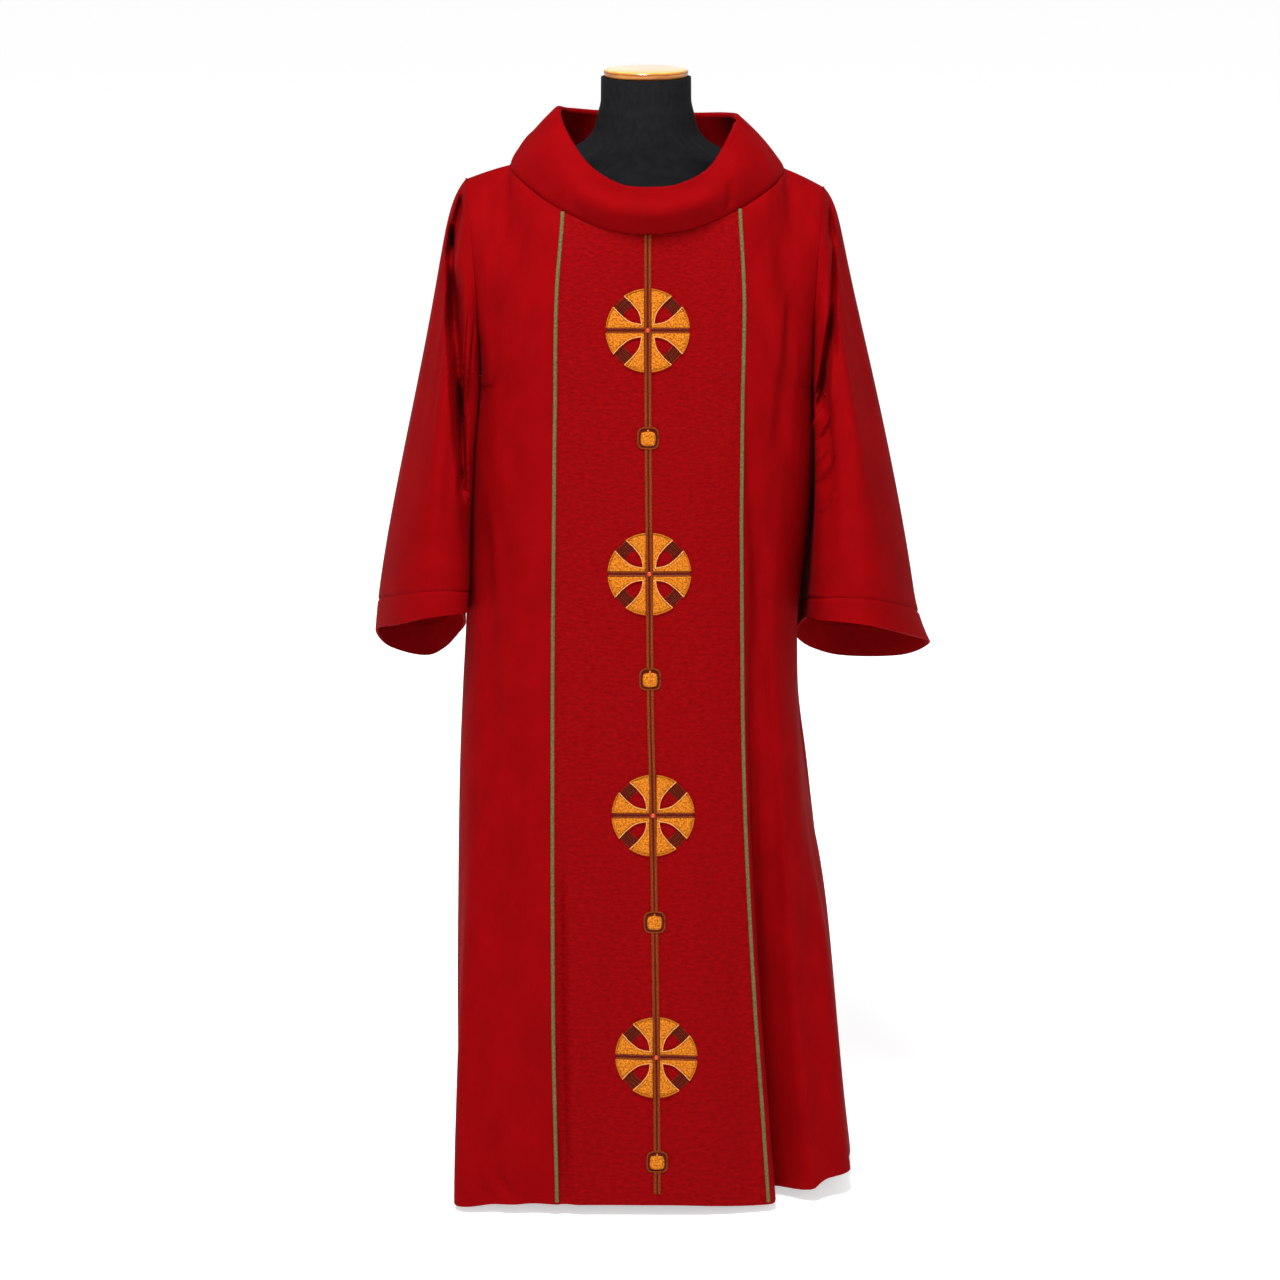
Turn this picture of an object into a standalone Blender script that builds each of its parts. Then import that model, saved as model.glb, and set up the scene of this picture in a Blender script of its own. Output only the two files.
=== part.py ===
"""A dalmatic on a limbless dress form.

The garment is a long, wide-sleeved vestment: a centre front panel between two corded seams,
two side fronts, a plain back cut in three like the front, two straight sleeves and a wide turned-over collar, with four
embroidered ringed crosses joined by a narrow band down the centre front.  It is worn by a plain
dress form: a smooth torso with a neck, a wooden neck cap, a pole and a base disc.

Axes: +Z up, the front of the garment faces -Y, +X is the wearer's left.
Origin: the centre of the underside of the base disc.
"""
import math

import bpy
import numpy as np

# ---------------------------------------------------------------- driving dimensions (metres)
CLOTH = 0.002            # lined cloth of body and sleeves
COLLAR_CLOTH = 0.0024    # lined and interfaced collar
SEAM = 0.00015           # each piece stops this far short of its seam line
SLEEVE_GAP = 0.0003      # a sleeve stands this much further out
UNDERARM_Z = 1.040       # height of the underarm point
SIDE_Y = 0.004           # the side seam runs this far behind the middle
SHOULDER_TIP = {"left": (-0.2255, 0.006, 1.2885), "right": (0.2225, 0.006, 1.2785)}
UNDERARM = {"left": (-0.2090, 0.004, UNDERARM_Z), "right": (0.2100, 0.004, UNDERARM_Z)}
ARMHOLE_DEPTH = 0.168    # front to back, at the widest place of the armhole
ARMHOLE_BOW = 0.006      # how far the armhole bows towards the body
BUST_N = 2.7             # squareness of the chest at the armholes' widest places

# height of the hem by turn: 0 front, 90 at -X, 180 back, 270 at +X
HEM_COLUMNS = ("turn", "z")
HEM = (
    (0, 0.0150),
    (30, 0.0125),
    (52, 0.0075),
    (90, 0.0110),
    (180, 0.0130),
    (270, 0.0270),
    (305, 0.0290),
    (318, 0.0150),
    (335, 0.0105),
)

PIPING_W = 0.0050        # width of the cord in the seam
PIPING_H = 0.0017
TRIM_GAP = 0.0005        # what lies on the cloth keeps this gap to it
CORD_GAP = 0.0006
TRIM_H = 0.0012          # thickness of the embroidery

CROSS_R = 0.0510         # radius of a ringed cross
CROSS_Z = (1.1220, 0.8190, 0.5150, 0.2060)
SQUARE_Z = (0.9880, 0.6865, 0.3785, 0.0710)
SQUARE_HALF = 0.0135     # half the side of a square with its frame
BAND_HALF = 0.0048       # half the width of the vertical band
BAND_TOP_Z = 1.2300
BAND_END_Z = 0.0300

BASE_R = 0.150
BASE_H = 0.008
POLE_R = 0.0125
TORSO_Z = 0.620
NECK_TOP_Z = 1.4168
CAP_H = 0.0098
FIT_GAP = 0.0003

# ---------------------------------------------------------------- sections of the skirt and chest
# z: height; left, right: half widths either side of x = 0; front, back: depths;
# n_fl, n_fr, n_bk: squareness of the front left, front right and back corners;
# cord_l, cord_r: x of the two corded seams; mid: x of the embroidered line
BODY_COLUMNS = ("z", "left", "right", "front", "back", "n_fl", "n_fr", "n_bk", "cord_l", "cord_r", "mid")
BODY = (
    (1.150, 0.2080, 0.2090, 0.1450, 0.1210, 3.80, 3.70, 3.40, -0.1098, 0.1205, 0.0020),
    (1.040, 0.2090, 0.2100, 0.1480, 0.1240, 3.80, 3.60, 3.40, -0.1118, 0.1192, 0.0022),
    (0.970, 0.2180, 0.2140, 0.1505, 0.1275, 3.60, 3.20, 3.10, -0.1130, 0.1185, 0.0027),
    (0.900, 0.2230, 0.2110, 0.1530, 0.1310, 3.40, 2.95, 2.80, -0.1138, 0.1180, 0.0032),
    (0.800, 0.2255, 0.2000, 0.1580, 0.1370, 3.35, 2.75, 2.60, -0.1150, 0.1188, 0.0042),
    (0.720, 0.2288, 0.1935, 0.1630, 0.1420, 3.45, 2.65, 2.45, -0.1158, 0.1195, 0.0048),
    (0.650, 0.2328, 0.1945, 0.1680, 0.1470, 3.60, 2.65, 2.45, -0.1163, 0.1202, 0.0055),
    (0.540, 0.2375, 0.2070, 0.1750, 0.1560, 4.00, 2.75, 2.50, -0.1167, 0.1228, 0.0082),
    (0.400, 0.2402, 0.2235, 0.1840, 0.1670, 4.50, 2.85, 2.55, -0.1171, 0.1290, 0.0105),
    (0.250, 0.2418, 0.2405, 0.1945, 0.1780, 5.00, 2.90, 2.60, -0.1168, 0.1382, 0.0125),
    (0.120, 0.2412, 0.2555, 0.2050, 0.1870, 5.50, 2.95, 2.65, -0.1147, 0.1480, 0.0138),
    (0.000, 0.2410, 0.2695, 0.2140, 0.1960, 6.00, 3.00, 2.70, -0.1122, 0.1562, 0.0145),
)

# panel: where the fold is; at: place across the panel (0 at its left edge, 1 at its right edge);
# width: half width of the fold across the panel; depth: at the hem, + is a trough, - a ridge;
# top, full: heights where it starts and where it reaches its depth
FOLD_COLUMNS = ("panel", "at_top", "at_hem", "width", "depth", "top", "full")
FOLDS = (
    ("front_right", 0.16, 0.17, 0.155, 0.0560, 0.980, 0.080),
    ("front_right", 0.62, 0.58, 0.22, -0.0140, 0.700, 0.060),
    ("front_left", 0.52, 0.46, 0.26, -0.0230, 0.600, 0.020),
    ("front_left", 0.90, 0.93, 0.10, 0.0060, 0.420, 0.020),
    ("front_centre", 0.06, 0.05, 0.060, 0.0030, 0.460, 0.060),
    ("back", 0.16, 0.14, 0.075, 0.0190, 0.900, 0.040),
    ("back", 0.31, 0.29, 0.070, -0.0150, 0.860, 0.040),
    ("back", 0.47, 0.49, 0.090, 0.0230, 0.960, 0.060),
    ("back", 0.66, 0.68, 0.080, -0.0170, 0.820, 0.040),
    ("back", 0.83, 0.85, 0.080, 0.0200, 0.900, 0.040),
)

# ---------------------------------------------------------------- neckline and collar
# angle: degrees round the neck, 0 at the front, + towards -X; seam_*: where the collar is sewn on;
# fold_*: its turned-over top edge
COLLAR_COLUMNS = ("angle", "seam_x", "seam_y", "seam_z", "fold_x", "fold_y", "fold_z")
COLLAR = (
    (-180, 0.0020, 0.1150, 1.3150, 0.0020, 0.1000, 1.3640),
    (-150, 0.0860, 0.1010, 1.3130, 0.0610, 0.0860, 1.3650),
    (-120, 0.1490, 0.0590, 1.3080, 0.1010, 0.0450, 1.3700),
    (-90, 0.1730, 0.0060, 1.3025, 0.1145, -0.0110, 1.3720),
    (-65, 0.1585, -0.0570, 1.2905, 0.1065, -0.0600, 1.3560),
    (-40, 0.1130, -0.1060, 1.2665, 0.0800, -0.0960, 1.3180),
    (-18, 0.0550, -0.1330, 1.2470, 0.0420, -0.1160, 1.2985),
    (0, 0.0040, -0.1400, 1.2410, 0.0040, -0.1215, 1.2945),
    (18, -0.0500, -0.1340, 1.2465, -0.0330, -0.1165, 1.2985),
    (40, -0.1080, -0.1060, 1.2680, -0.0720, -0.0960, 1.3210),
    (65, -0.1540, -0.0560, 1.2950, -0.1010, -0.0590, 1.3590),
    (90, -0.1700, 0.0060, 1.3070, -0.1110, -0.0110, 1.3820),
    (120, -0.1470, 0.0590, 1.3110, -0.0980, 0.0450, 1.3760),
    (150, -0.0840, 0.1010, 1.3140, -0.0580, 0.0860, 1.3680),
)
COLLAR_TURN = 0.0045     # radius of the turned-over edge
COLLAR_INSIDE = 0.046    # length of the turned-in leaf
CORD_TOP_ANGLE = {"left": 37.5, "right": -41.0}

# ---------------------------------------------------------------- sleeves
# angle: degrees round the sleeve, 0 outer, 90 front, 180 inner, 270 back; x, y, z: the cuff edge;
# out, fore, down: direction and speed in which the sleeve leaves the armhole; end_*: in which it
# reaches the cuff; puff: how far the shoulder stands out; flare: how far the cuff kicks out
SLEEVE_COLUMNS = (
    "angle", "x", "y", "z", "out", "fore", "down", "end_out", "end_fore", "end_down", "puff", "flare",
)
SLEEVES = {
    "left": (
        (0, -0.3440, -0.0100, 0.7160, 0.065, 0.000, 0.350, 0.030, 0.000, 0.450, 0.0140, 0.000),
        (45, -0.3150, -0.1120, 0.7440, 0.070, 0.030, 0.330, 0.020, 0.020, 0.450, 0.0100, 0.000),
        (90, -0.2680, -0.1560, 0.7630, 0.030, 0.080, 0.300, 0.005, 0.030, 0.400, 0.0040, 0.000),
        (135, -0.2250, -0.1290, 0.7630, -0.016, 0.090, 0.200, 0.000, 0.040, 0.330, 0.0000, 0.000),
        (180, -0.2310, -0.0350, 0.7440, 0.100, 0.020, 0.140, -0.003, 0.020, 0.300, 0.0000, 0.000),
        (225, -0.2335, 0.0530, 0.7020, 0.070, -0.055, 0.240, -0.004, 0.000, 0.380, 0.0000, 0.000),
        (270, -0.2760, 0.0770, 0.6640, 0.070, -0.050, 0.400, 0.015, 0.000, 0.480, 0.0060, 0.000),
        (315, -0.3280, 0.0470, 0.6800, 0.075, -0.020, 0.360, 0.030, 0.000, 0.480, 0.0110, 0.000),
    ),
    "right": (
        (0, 0.3480, -0.0250, 0.7030, 0.150, 0.000, 0.480, 0.046, 0.000, 0.450, 0.0073, 0.013),
        (45, 0.3190, -0.1120, 0.7330, 0.090, 0.030, 0.380, 0.030, 0.020, 0.450, 0.0060, 0.007),
        (90, 0.2700, -0.1520, 0.7530, 0.030, 0.080, 0.300, 0.005, 0.030, 0.400, 0.0030, 0.003),
        (135, 0.2175, -0.1230, 0.7530, 0.000, 0.090, 0.200, 0.000, 0.040, 0.330, 0.0000, 0.000),
        (180, 0.2010, 0.0000, 0.7280, 0.060, 0.000, 0.160, -0.016, 0.000, 0.300, 0.0000, 0.000),
        (225, 0.1930, 0.0620, 0.6880, 0.040, -0.060, 0.240, -0.020, 0.000, 0.380, 0.0000, 0.000),
        (270, 0.2420, 0.0860, 0.6620, 0.065, -0.055, 0.400, 0.010, 0.000, 0.480, 0.0040, 0.003),
        (315, 0.3200, 0.0400, 0.6720, 0.100, -0.020, 0.420, 0.040, 0.000, 0.480, 0.0060, 0.008),
    ),
}
PUFF_REACH = {"left": 0.16, "right": 0.07}   # how far down the sleeve the shoulder's roundness goes
# trough down each sleeve: angle at the armhole and at the cuff, half width in degrees, depth,
# start, peak and end along the sleeve (0 armhole, 1 cuff)
SLEEVE_FOLD_COLUMNS = ("side", "angle_top", "angle_cuff", "width", "depth", "start", "peak", "end")
SLEEVE_FOLDS = (
    ("left", 112, 140, 26, 0.0110, 0.05, 0.32, 0.85),
    ("left", 70, 84, 24, -0.0060, 0.05, 0.35, 0.90),
    ("left", 250, 236, 30, 0.0110, 0.06, 0.40, 1.00),
    ("right", 104, 132, 26, 0.0120, 0.05, 0.30, 0.90),
    ("right", 66, 78, 26, -0.0060, 0.05, 0.35, 0.95),
    ("right", 246, 232, 30, 0.0110, 0.06, 0.42, 1.00),
)

# ---------------------------------------------------------------- dress form
# z: height; half: half width; front, back: depths; n: squareness
TORSO_COLUMNS = ("z", "half", "front", "back", "n")
TORSO = (
    (0.620, 0.1180, 0.0740, 0.0700, 2.2),
    (0.635, 0.1260, 0.0800, 0.0770, 2.2),
    (0.700, 0.1350, 0.0860, 0.0840, 2.2),
    (0.800, 0.1370, 0.0880, 0.0860, 2.2),
    (0.890, 0.1280, 0.0840, 0.0790, 2.2),
    (0.970, 0.1230, 0.0810, 0.0740, 2.2),
    (1.050, 0.1320, 0.0880, 0.0750, 2.2),
    (1.130, 0.1480, 0.0960, 0.0790, 2.2),
    (1.190, 0.1680, 0.0940, 0.0790, 2.2),
    (1.240, 0.1880, 0.0730, 0.0660, 2.1),
    (1.268, 0.1960, 0.0530, 0.0490, 2.0),
    (1.2825, 0.1970, 0.0400, 0.0380, 2.0),
    (1.2897, 0.1920, 0.0345, 0.0335, 2.0),
    (1.2939, 0.1825, 0.0320, 0.0300, 2.0),
    (1.2977, 0.1725, 0.0340, 0.0320, 2.0),
    (1.3050, 0.1495, 0.0420, 0.0420, 2.0),
    (1.3200, 0.1100, 0.0520, 0.0520, 2.0),
    (1.3380, 0.0760, 0.0565, 0.0565, 2.0),
    (1.3540, 0.0610, 0.0565, 0.0565, 2.0),
    (1.3720, 0.0566, 0.0564, 0.0564, 2.0),
    (1.4168, 0.0562, 0.0562, 0.0562, 2.0),
)
NECK_Y = 0.006           # the neck and torso stand this far behind the origin's plane

# how many stations each surface is drawn with
COLS_CENTRE = 10
COLS_SIDE = 11
COLS_BACK = 24
ROWS_SKIRT = 20
ROWS_CHEST = 12
SLEEVE_COLS = 2 * ROWS_CHEST
SLEEVE_ROWS = 15
NECK_SIDE = 7            # columns of a side front that end on the neckline
NECK_BACK = 8            # columns of each half of the back that end there


# ---------------------------------------------------------------- small helpers
def table(columns, rows):
    """A dict of arrays, one for each named column."""
    return {name: np.array([row[i] for row in rows]) for i, name in enumerate(columns)}


def smooth(x, xs, ys):
    """A smooth curve through (xs, ys), xs rising, without overshoot at its ends."""
    xs = np.asarray(xs, float)
    ys = np.asarray(ys, float)
    d = np.diff(ys) / np.diff(xs)
    m = np.empty_like(ys)
    m[1:-1] = np.where(d[:-1] * d[1:] > 0, 2 * d[:-1] * d[1:] / (d[:-1] + d[1:] + 1e-15), 0.0)
    m[0] = d[0]
    m[-1] = d[-1]
    i = int(np.clip(np.searchsorted(xs, x) - 1, 0, len(xs) - 2))
    h = xs[i + 1] - xs[i]
    t = min(max((x - xs[i]) / h, 0.0), 1.0)
    return (
        ys[i] * (1 + 2 * t) * (1 - t) ** 2
        + m[i] * h * t * (1 - t) ** 2
        + ys[i + 1] * t * t * (3 - 2 * t)
        + m[i + 1] * h * t * t * (t - 1)
    )


def around(angle, angles, values):
    """A smooth closed curve through values at rising angles over one turn (Catmull-Rom)."""
    n = len(angles)
    first = angles[0]
    a = (angle - first) % 360.0 + first
    k = max(i for i in range(n) if angles[i] <= a + 1e-9)
    pos = [angles[(k + j) % n] + 360.0 * ((k + j) // n) for j in (-1, 0, 1, 2)]
    val = [values[(k + j) % n] for j in (-1, 0, 1, 2)]
    h = pos[2] - pos[1]
    t = (a - pos[1]) / h
    m1 = (val[2] - val[0]) / (pos[2] - pos[0]) * h
    m2 = (val[3] - val[1]) / (pos[3] - pos[1]) * h
    return (
        val[1] * (1 + 2 * t) * (1 - t) ** 2
        + m1 * t * (1 - t) ** 2
        + val[2] * t * t * (3 - 2 * t)
        + m2 * t * t * (t - 1)
    )


def ease(t):
    """0 to 1 with flat ends."""
    t = min(max(t, 0.0), 1.0)
    return t * t * (3 - 2 * t)


def bump(t):
    """1 at 0, falling smoothly to 0 at -1 and +1."""
    return 0.5 * (1 + math.cos(math.pi * t)) if abs(t) < 1 else 0.0


def hermite(p0, d0, p1, d1, t):
    """The point at t on the cubic from p0, leaving along d0, to p1, arriving along d1."""
    p0, d0, p1, d1 = (np.asarray(v, float) for v in (p0, d0, p1, d1))
    return (
        p0 * (1 + 2 * t) * (1 - t) ** 2
        + d0 * t * (1 - t) ** 2
        + p1 * t * t * (3 - 2 * t)
        + d1 * t * t * (t - 1)
    )


body_table = table(BODY_COLUMNS, BODY[::-1])
collar_table = table(COLLAR_COLUMNS, COLLAR)
torso_table = table(TORSO_COLUMNS, TORSO)
hem_table = table(HEM_COLUMNS, HEM)


def body(name, z):
    return float(smooth(z, body_table["z"], body_table[name]))


def collar(name, angle):
    return float(around(angle, collar_table["angle"], collar_table[name]))


def neckline(angle):
    """Point of the neckline seam at an angle round the neck."""
    return np.array([collar("seam_x", angle), collar("seam_y", angle), collar("seam_z", angle)])


# ---------------------------------------------------------------- the body's cloth surface
def section(z, turn):
    """Point of the level section at z; turn 0 front, 90 at -X, 180 back, 270 at +X."""
    s, c = math.sin(math.radians(turn)), math.cos(math.radians(turn))
    wide = body("left" if s >= 0 else "right", z)
    deep = body("front" if c >= 0 else "back", z)
    if c >= 0:
        n = body("n_fl" if s >= 0 else "n_fr", z)
    else:
        n = body("n_bk", z)
    x = -math.copysign(abs(s) ** (2 / n), s) * wide
    y = -math.copysign(abs(c) ** (2 / n), c) * deep
    return np.array([x, y + SIDE_Y * abs(s), z])


def front_turn(z, x):
    """The turn at which the front of the section reaches x."""
    if x < 0:
        return math.degrees(math.asin(min(1.0, (-x / body("left", z)) ** (body("n_fl", z) / 2))))
    return -math.degrees(math.asin(min(1.0, (x / body("right", z)) ** (body("n_fr", z) / 2))))


def panel_turn(panel, u, z):
    """The turn of the place u across a panel, 0 at its viewer's-left edge, 1 at its right."""
    if panel == "front_centre":
        left, right = body("cord_l", z), body("cord_r", z)
        return front_turn(z, left + (right - left) * u)
    if panel == "front_left":
        return 90 + (front_turn(z, body("cord_l", z)) - 90) * u
    if panel == "front_right":
        edge = front_turn(z, body("cord_r", z))
        return edge + (-90 - edge) * u
    return 270 - 180 * u


def fold_depth(panel, u, z):
    """How far the cloth is pressed in (+) or stands out (-) at u across a panel."""
    depth = 0.0
    for row in FOLDS:
        f = dict(zip(FOLD_COLUMNS, row))
        if f["panel"] != panel or z >= f["top"]:
            continue
        grow = ease((f["top"] - z) / (f["top"] - f["full"]))
        at = f["at_hem"] + (f["at_top"] - f["at_hem"]) * z / f["top"]
        depth += f["depth"] * grow * bump((u - at) / f["width"])
    return depth


def skirt_point(panel, u, z):
    """A point of the cloth below the underarm, folds included."""
    turn = panel_turn(panel, u, z)
    p = section(z, turn)
    depth = fold_depth(panel, u, z)
    if depth:
        a, b = section(z, turn - 0.5), section(z, turn + 0.5)
        t = (b - a) / np.linalg.norm(b - a)
        p = p + depth * np.array([t[1], -t[0], 0.0])
    return p


def hem_z(turn):
    """Height of the hem at a turn."""
    return float(around(turn, hem_table["turn"], hem_table["z"]))


def top_edge(panel, u):
    """The upper edge of a panel, and the direction in which the cloth arrives there."""
    front = panel != "back"
    if panel == "front_centre":
        a0, a1 = CORD_TOP_ANGLE["left"], CORD_TOP_ANGLE["right"]
        angle = a0 + (a1 - a0) * u
        return neckline(angle), arrival(angle)
    if panel == "back":
        side = "left" if u > 0.5 else "right"
        w = abs(u - 0.5) * 2
        share, sign = NECK_BACK / (COLS_BACK / 2), -1.0
        start = 180.0 if side == "left" else -180.0
        end = 90.0 if side == "left" else -90.0
    else:
        side = "left" if panel == "front_left" else "right"
        w = 1 - u if side == "left" else u
        share, sign = NECK_SIDE / COLS_SIDE, 1.0
        start = CORD_TOP_ANGLE[side]
        end = 90.0 if side == "left" else -90.0
    if w <= share:
        angle = start + (end - start) * w / share
        return neckline(angle), arrival(angle)
    v = (w - share) / (1 - share)
    a, b = neckline(end), np.array(SHOULDER_TIP[side])
    p = a + (b - a) * v
    p[2] += 0.0012 * math.sin(math.pi * v)
    d = np.array([0.0, sign, 0.16 * (1 - v)])
    return p, d * (1 + 1.1 * v) * 0.17


def arrival(angle):
    """How the cloth runs into the neckline at an angle round the neck."""
    c, s = math.cos(math.radians(angle)), abs(math.sin(math.radians(angle)))
    up = np.array([0.0, 0.02, 0.21]) if c >= 0 else np.array([0.0, -0.05, 0.24])
    over = np.array([0.0, math.copysign(0.17, c), 0.03])
    w = ease((s - 0.25) / 0.75)
    return up * (1 - w) + over * w


def bust_point(panel, u):
    """A point of the level line through the widest places of the two armholes."""
    front = panel != "back"
    edge = {side: armhole_curve(side, 0.5, front) for side in ("left", "right")}
    deep = body("front" if front else "back", edge["left"][2]) - (0.001 if front else 0.004)

    def wide(side):
        share = (abs(edge[side][1]) / deep) ** BUST_N
        return abs(edge[side][0]) / (1 - share) ** (1 / BUST_N)

    def turn_of(x):
        t = min(1.0, (abs(x) / wide("left" if x < 0 else "right")) ** (BUST_N / 2))
        return math.copysign(math.asin(t), -x)

    z = edge["left"][2] + (edge["right"][2] - edge["left"][2]) * (u if front else 1 - u)
    left, right = turn_of(edge["left"][0]), turn_of(edge["right"][0])
    if panel == "front_left":
        turn = left + (turn_of(body("cord_l", z)) - left) * u
    elif panel == "front_right":
        cord_turn = turn_of(body("cord_r", z))
        turn = cord_turn + (right - cord_turn) * u
    elif panel == "front_centre":
        x0, x1 = body("cord_l", z), body("cord_r", z)
        turn = turn_of(x0 + (x1 - x0) * u)
    else:
        turn = right + (left - right) * u
    s, c = math.sin(turn), math.cos(turn)
    x = -math.copysign(abs(s) ** (2 / BUST_N), s) * wide("left" if s >= 0 else "right")
    y = (-1 if front else 1) * abs(c) ** (2 / BUST_N) * deep
    z_l, z_r = edge["left"][2], edge["right"][2]
    return np.array([x, y, z_l + (z_r - z_l) * ease((x + 0.2) / 0.4)])


def chest_point(panel, u, v):
    """A point of the cloth above the underarm: v is 0 at the underarm level, 1 at the top edge."""
    front = panel != "back"
    at_edge = {"front_left": u == 0, "front_right": u == 1, "back": u in (0, 1)}.get(panel, False)
    low = skirt_point(panel, u, UNDERARM_Z)
    side = "left" if low[0] < 0 else "right"
    if at_edge:
        return armhole_curve(side, v, front)
    turn = panel_turn(panel, u, UNDERARM_Z)
    mid = bust_point(panel, u)
    top, arrive = top_edge(panel, u)
    w = ease((abs(math.sin(math.radians(turn))) - 0.60) / 0.40) ** 2
    a, b = section(UNDERARM_Z, turn - 1.0), section(UNDERARM_Z, turn + 1.0)
    t = (b - a) / np.linalg.norm(b - a)
    forward = t if (t[1] < 0) == front else -t
    rise = 1.9 * (mid[2] - low[2]) * np.array([0.0, 0.0, 1.0])
    leave = rise * (1 - w) + forward * (2 * ARMHOLE_DEPTH) * w
    edge = (armhole_curve(side, 0.51, front) - armhole_curve(side, 0.49, front)) / 0.02
    past = (top - low) * (1 - w) + edge * w
    if v <= 0.5:
        return hermite(low, leave / 2, mid, past / 2, 2 * v)
    return hermite(mid, past / 2, top, arrive / 2, 2 * v - 1)


def armhole_curve(side, v, front):
    """The armhole from the underarm (v 0) to the shoulder tip (v 1)."""
    a, b = np.array(UNDERARM[side]), np.array(SHOULDER_TIP[side])
    s = -1.0 if front else 1.0
    d = np.array([0.0, s * 2 * ARMHOLE_DEPTH, 0.0])
    p = hermite(a, d, b, -d, v)
    inward = 1.0 if side == "left" else -1.0
    p[0] += inward * ARMHOLE_BOW * math.sin(math.pi * v)
    return p


def body_grid(panel, cols):
    """Rows of points from the hem to the top edge, each from the viewer's left to the right."""
    rows = []
    for j in range(ROWS_SKIRT):
        t = j / ROWS_SKIRT
        row = []
        for i in range(cols + 1):
            u = i / cols
            low = hem_z(panel_turn(panel, u, 0.02))
            row.append(skirt_point(panel, u, low + (UNDERARM_Z - low) * t))
        rows.append(row)
    for j in range(ROWS_CHEST + 1):
        v = j / ROWS_CHEST
        rows.append([chest_point(panel, i / cols, v) for i in range(cols + 1)])
    return np.array(rows)


def grid_normals(grid, closed=False):
    """Unit normals of a grid, pointing along (across the row) x (along the column)."""
    if closed:
        across = np.roll(grid, -1, axis=1) - np.roll(grid, 1, axis=1)
    else:
        across = np.gradient(grid, axis=1)
    along = np.gradient(grid, axis=0)
    n = np.cross(across, along)
    return n / np.linalg.norm(n, axis=2, keepdims=True)


# ---------------------------------------------------------------- solids
def material(name, rgb, rough, metal=0.0):
    m = bpy.data.materials.new(name)
    m.use_nodes = True
    m.diffuse_color = (*rgb, 1.0)
    shader = m.node_tree.nodes["Principled BSDF"]
    shader.inputs["Base Color"].default_value = (*rgb, 1.0)
    shader.inputs["Roughness"].default_value = rough
    shader.inputs["Metallic"].default_value = metal
    return m


def add_object(name, verts, faces, mat, crease=40.0):
    mesh = bpy.data.meshes.new(name)
    mesh.from_pydata([tuple(float(c) for c in v) for v in verts], [], faces)
    mesh.validate()
    obj = bpy.data.objects.new(name, mesh)
    bpy.context.scene.collection.objects.link(obj)
    mesh.materials.append(mat)
    mesh.shade_smooth()
    mesh.set_sharp_from_angle(angle=math.radians(crease))
    return obj


def skin(name, outer, inner, faces, mat, crease=40.0):
    """A closed wall between two copies of one skin; its open edges are joined by side faces."""
    n = len(outer)
    verts = list(outer) + list(inner)
    every = [tuple(f) for f in faces] + [tuple(n + k for k in reversed(f)) for f in faces]
    edges = {}
    for f in faces:
        for a, b in zip(f, f[1:] + f[:1]):
            edges[(a, b)] = edges.get((a, b), 0) + 1
    for a, b in edges:
        if (b, a) not in edges:
            every.append((b, a, n + a, n + b))
    return add_object(name, verts, every, mat, crease)


def grid_faces(rows, cols, closed=False, skip=()):
    """Quads of a grid of points, turned to face the grid's outward side."""
    width = cols if closed else cols + 1
    faces = []
    for j in range(rows):
        for i in range(cols):
            if (j, i) in skip:
                continue
            k = (i + 1) % width
            faces.append([j * width + i, j * width + k, (j + 1) * width + k, (j + 1) * width + i])
    return faces


def pull_in(grid, amount, left=True, right=True, bottom=False, top=True):
    """Moves the edges of a grid a little towards its middle."""
    g = grid.copy()

    def moved(edge, neighbour):
        d = neighbour - edge
        return edge + amount * d / np.linalg.norm(d, axis=-1, keepdims=True)

    if left:
        g[:, 0] = moved(g[:, 0], grid[:, 1])
    if right:
        g[:, -1] = moved(g[:, -1], grid[:, -2])
    if bottom:
        g[0] = moved(g[0], g[1])
    if top:
        g[-1] = moved(g[-1], g[-2])
    return g


def cloth_panel(name, grid, normals, mat):
    """A panel: a wall of CLOTH thickness inside the given outer points."""
    rows, cols = grid.shape[0] - 1, grid.shape[1] - 1
    outer = pull_in(grid, SEAM)
    inner = pull_in(grid - normals * CLOTH, SEAM)
    faces = grid_faces(rows, cols)
    return skin(name, outer.reshape(-1, 3), inner.reshape(-1, 3), faces, mat)


for old in list(bpy.data.objects):
    bpy.data.objects.remove(old, do_unlink=True)

RED_CREPE = material("red_crepe", (0.40, 0.004, 0.010), 0.72)
RED_TWILL = material("red_twill", (0.42, 0.004, 0.010), 0.66)
CORD = material("olive_cord", (0.19, 0.15, 0.045), 0.62)
BAND = material("bronze_thread", (0.22, 0.075, 0.010), 0.55)
GOLD = material("gold_thread", (0.70, 0.28, 0.020), 0.45)
JERSEY = material("black_jersey", (0.012, 0.012, 0.014), 0.85)
WOOD = material("varnished_wood", (0.62, 0.27, 0.060), 0.25)
STEEL = material("steel_pole", (0.55, 0.55, 0.56), 0.35, 1.0)
BASE = material("black_base", (0.02, 0.02, 0.022), 0.45)

# ---------------------------------------------------------------- sleeves
def sleeve_start(side, angle):
    """Point of the armhole at an angle round the sleeve."""
    a = angle % 360.0
    if a <= 180.0:
        return armhole_curve(side, 1 - a / 180.0, True)
    return armhole_curve(side, (a - 180.0) / 180.0, False)


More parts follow.
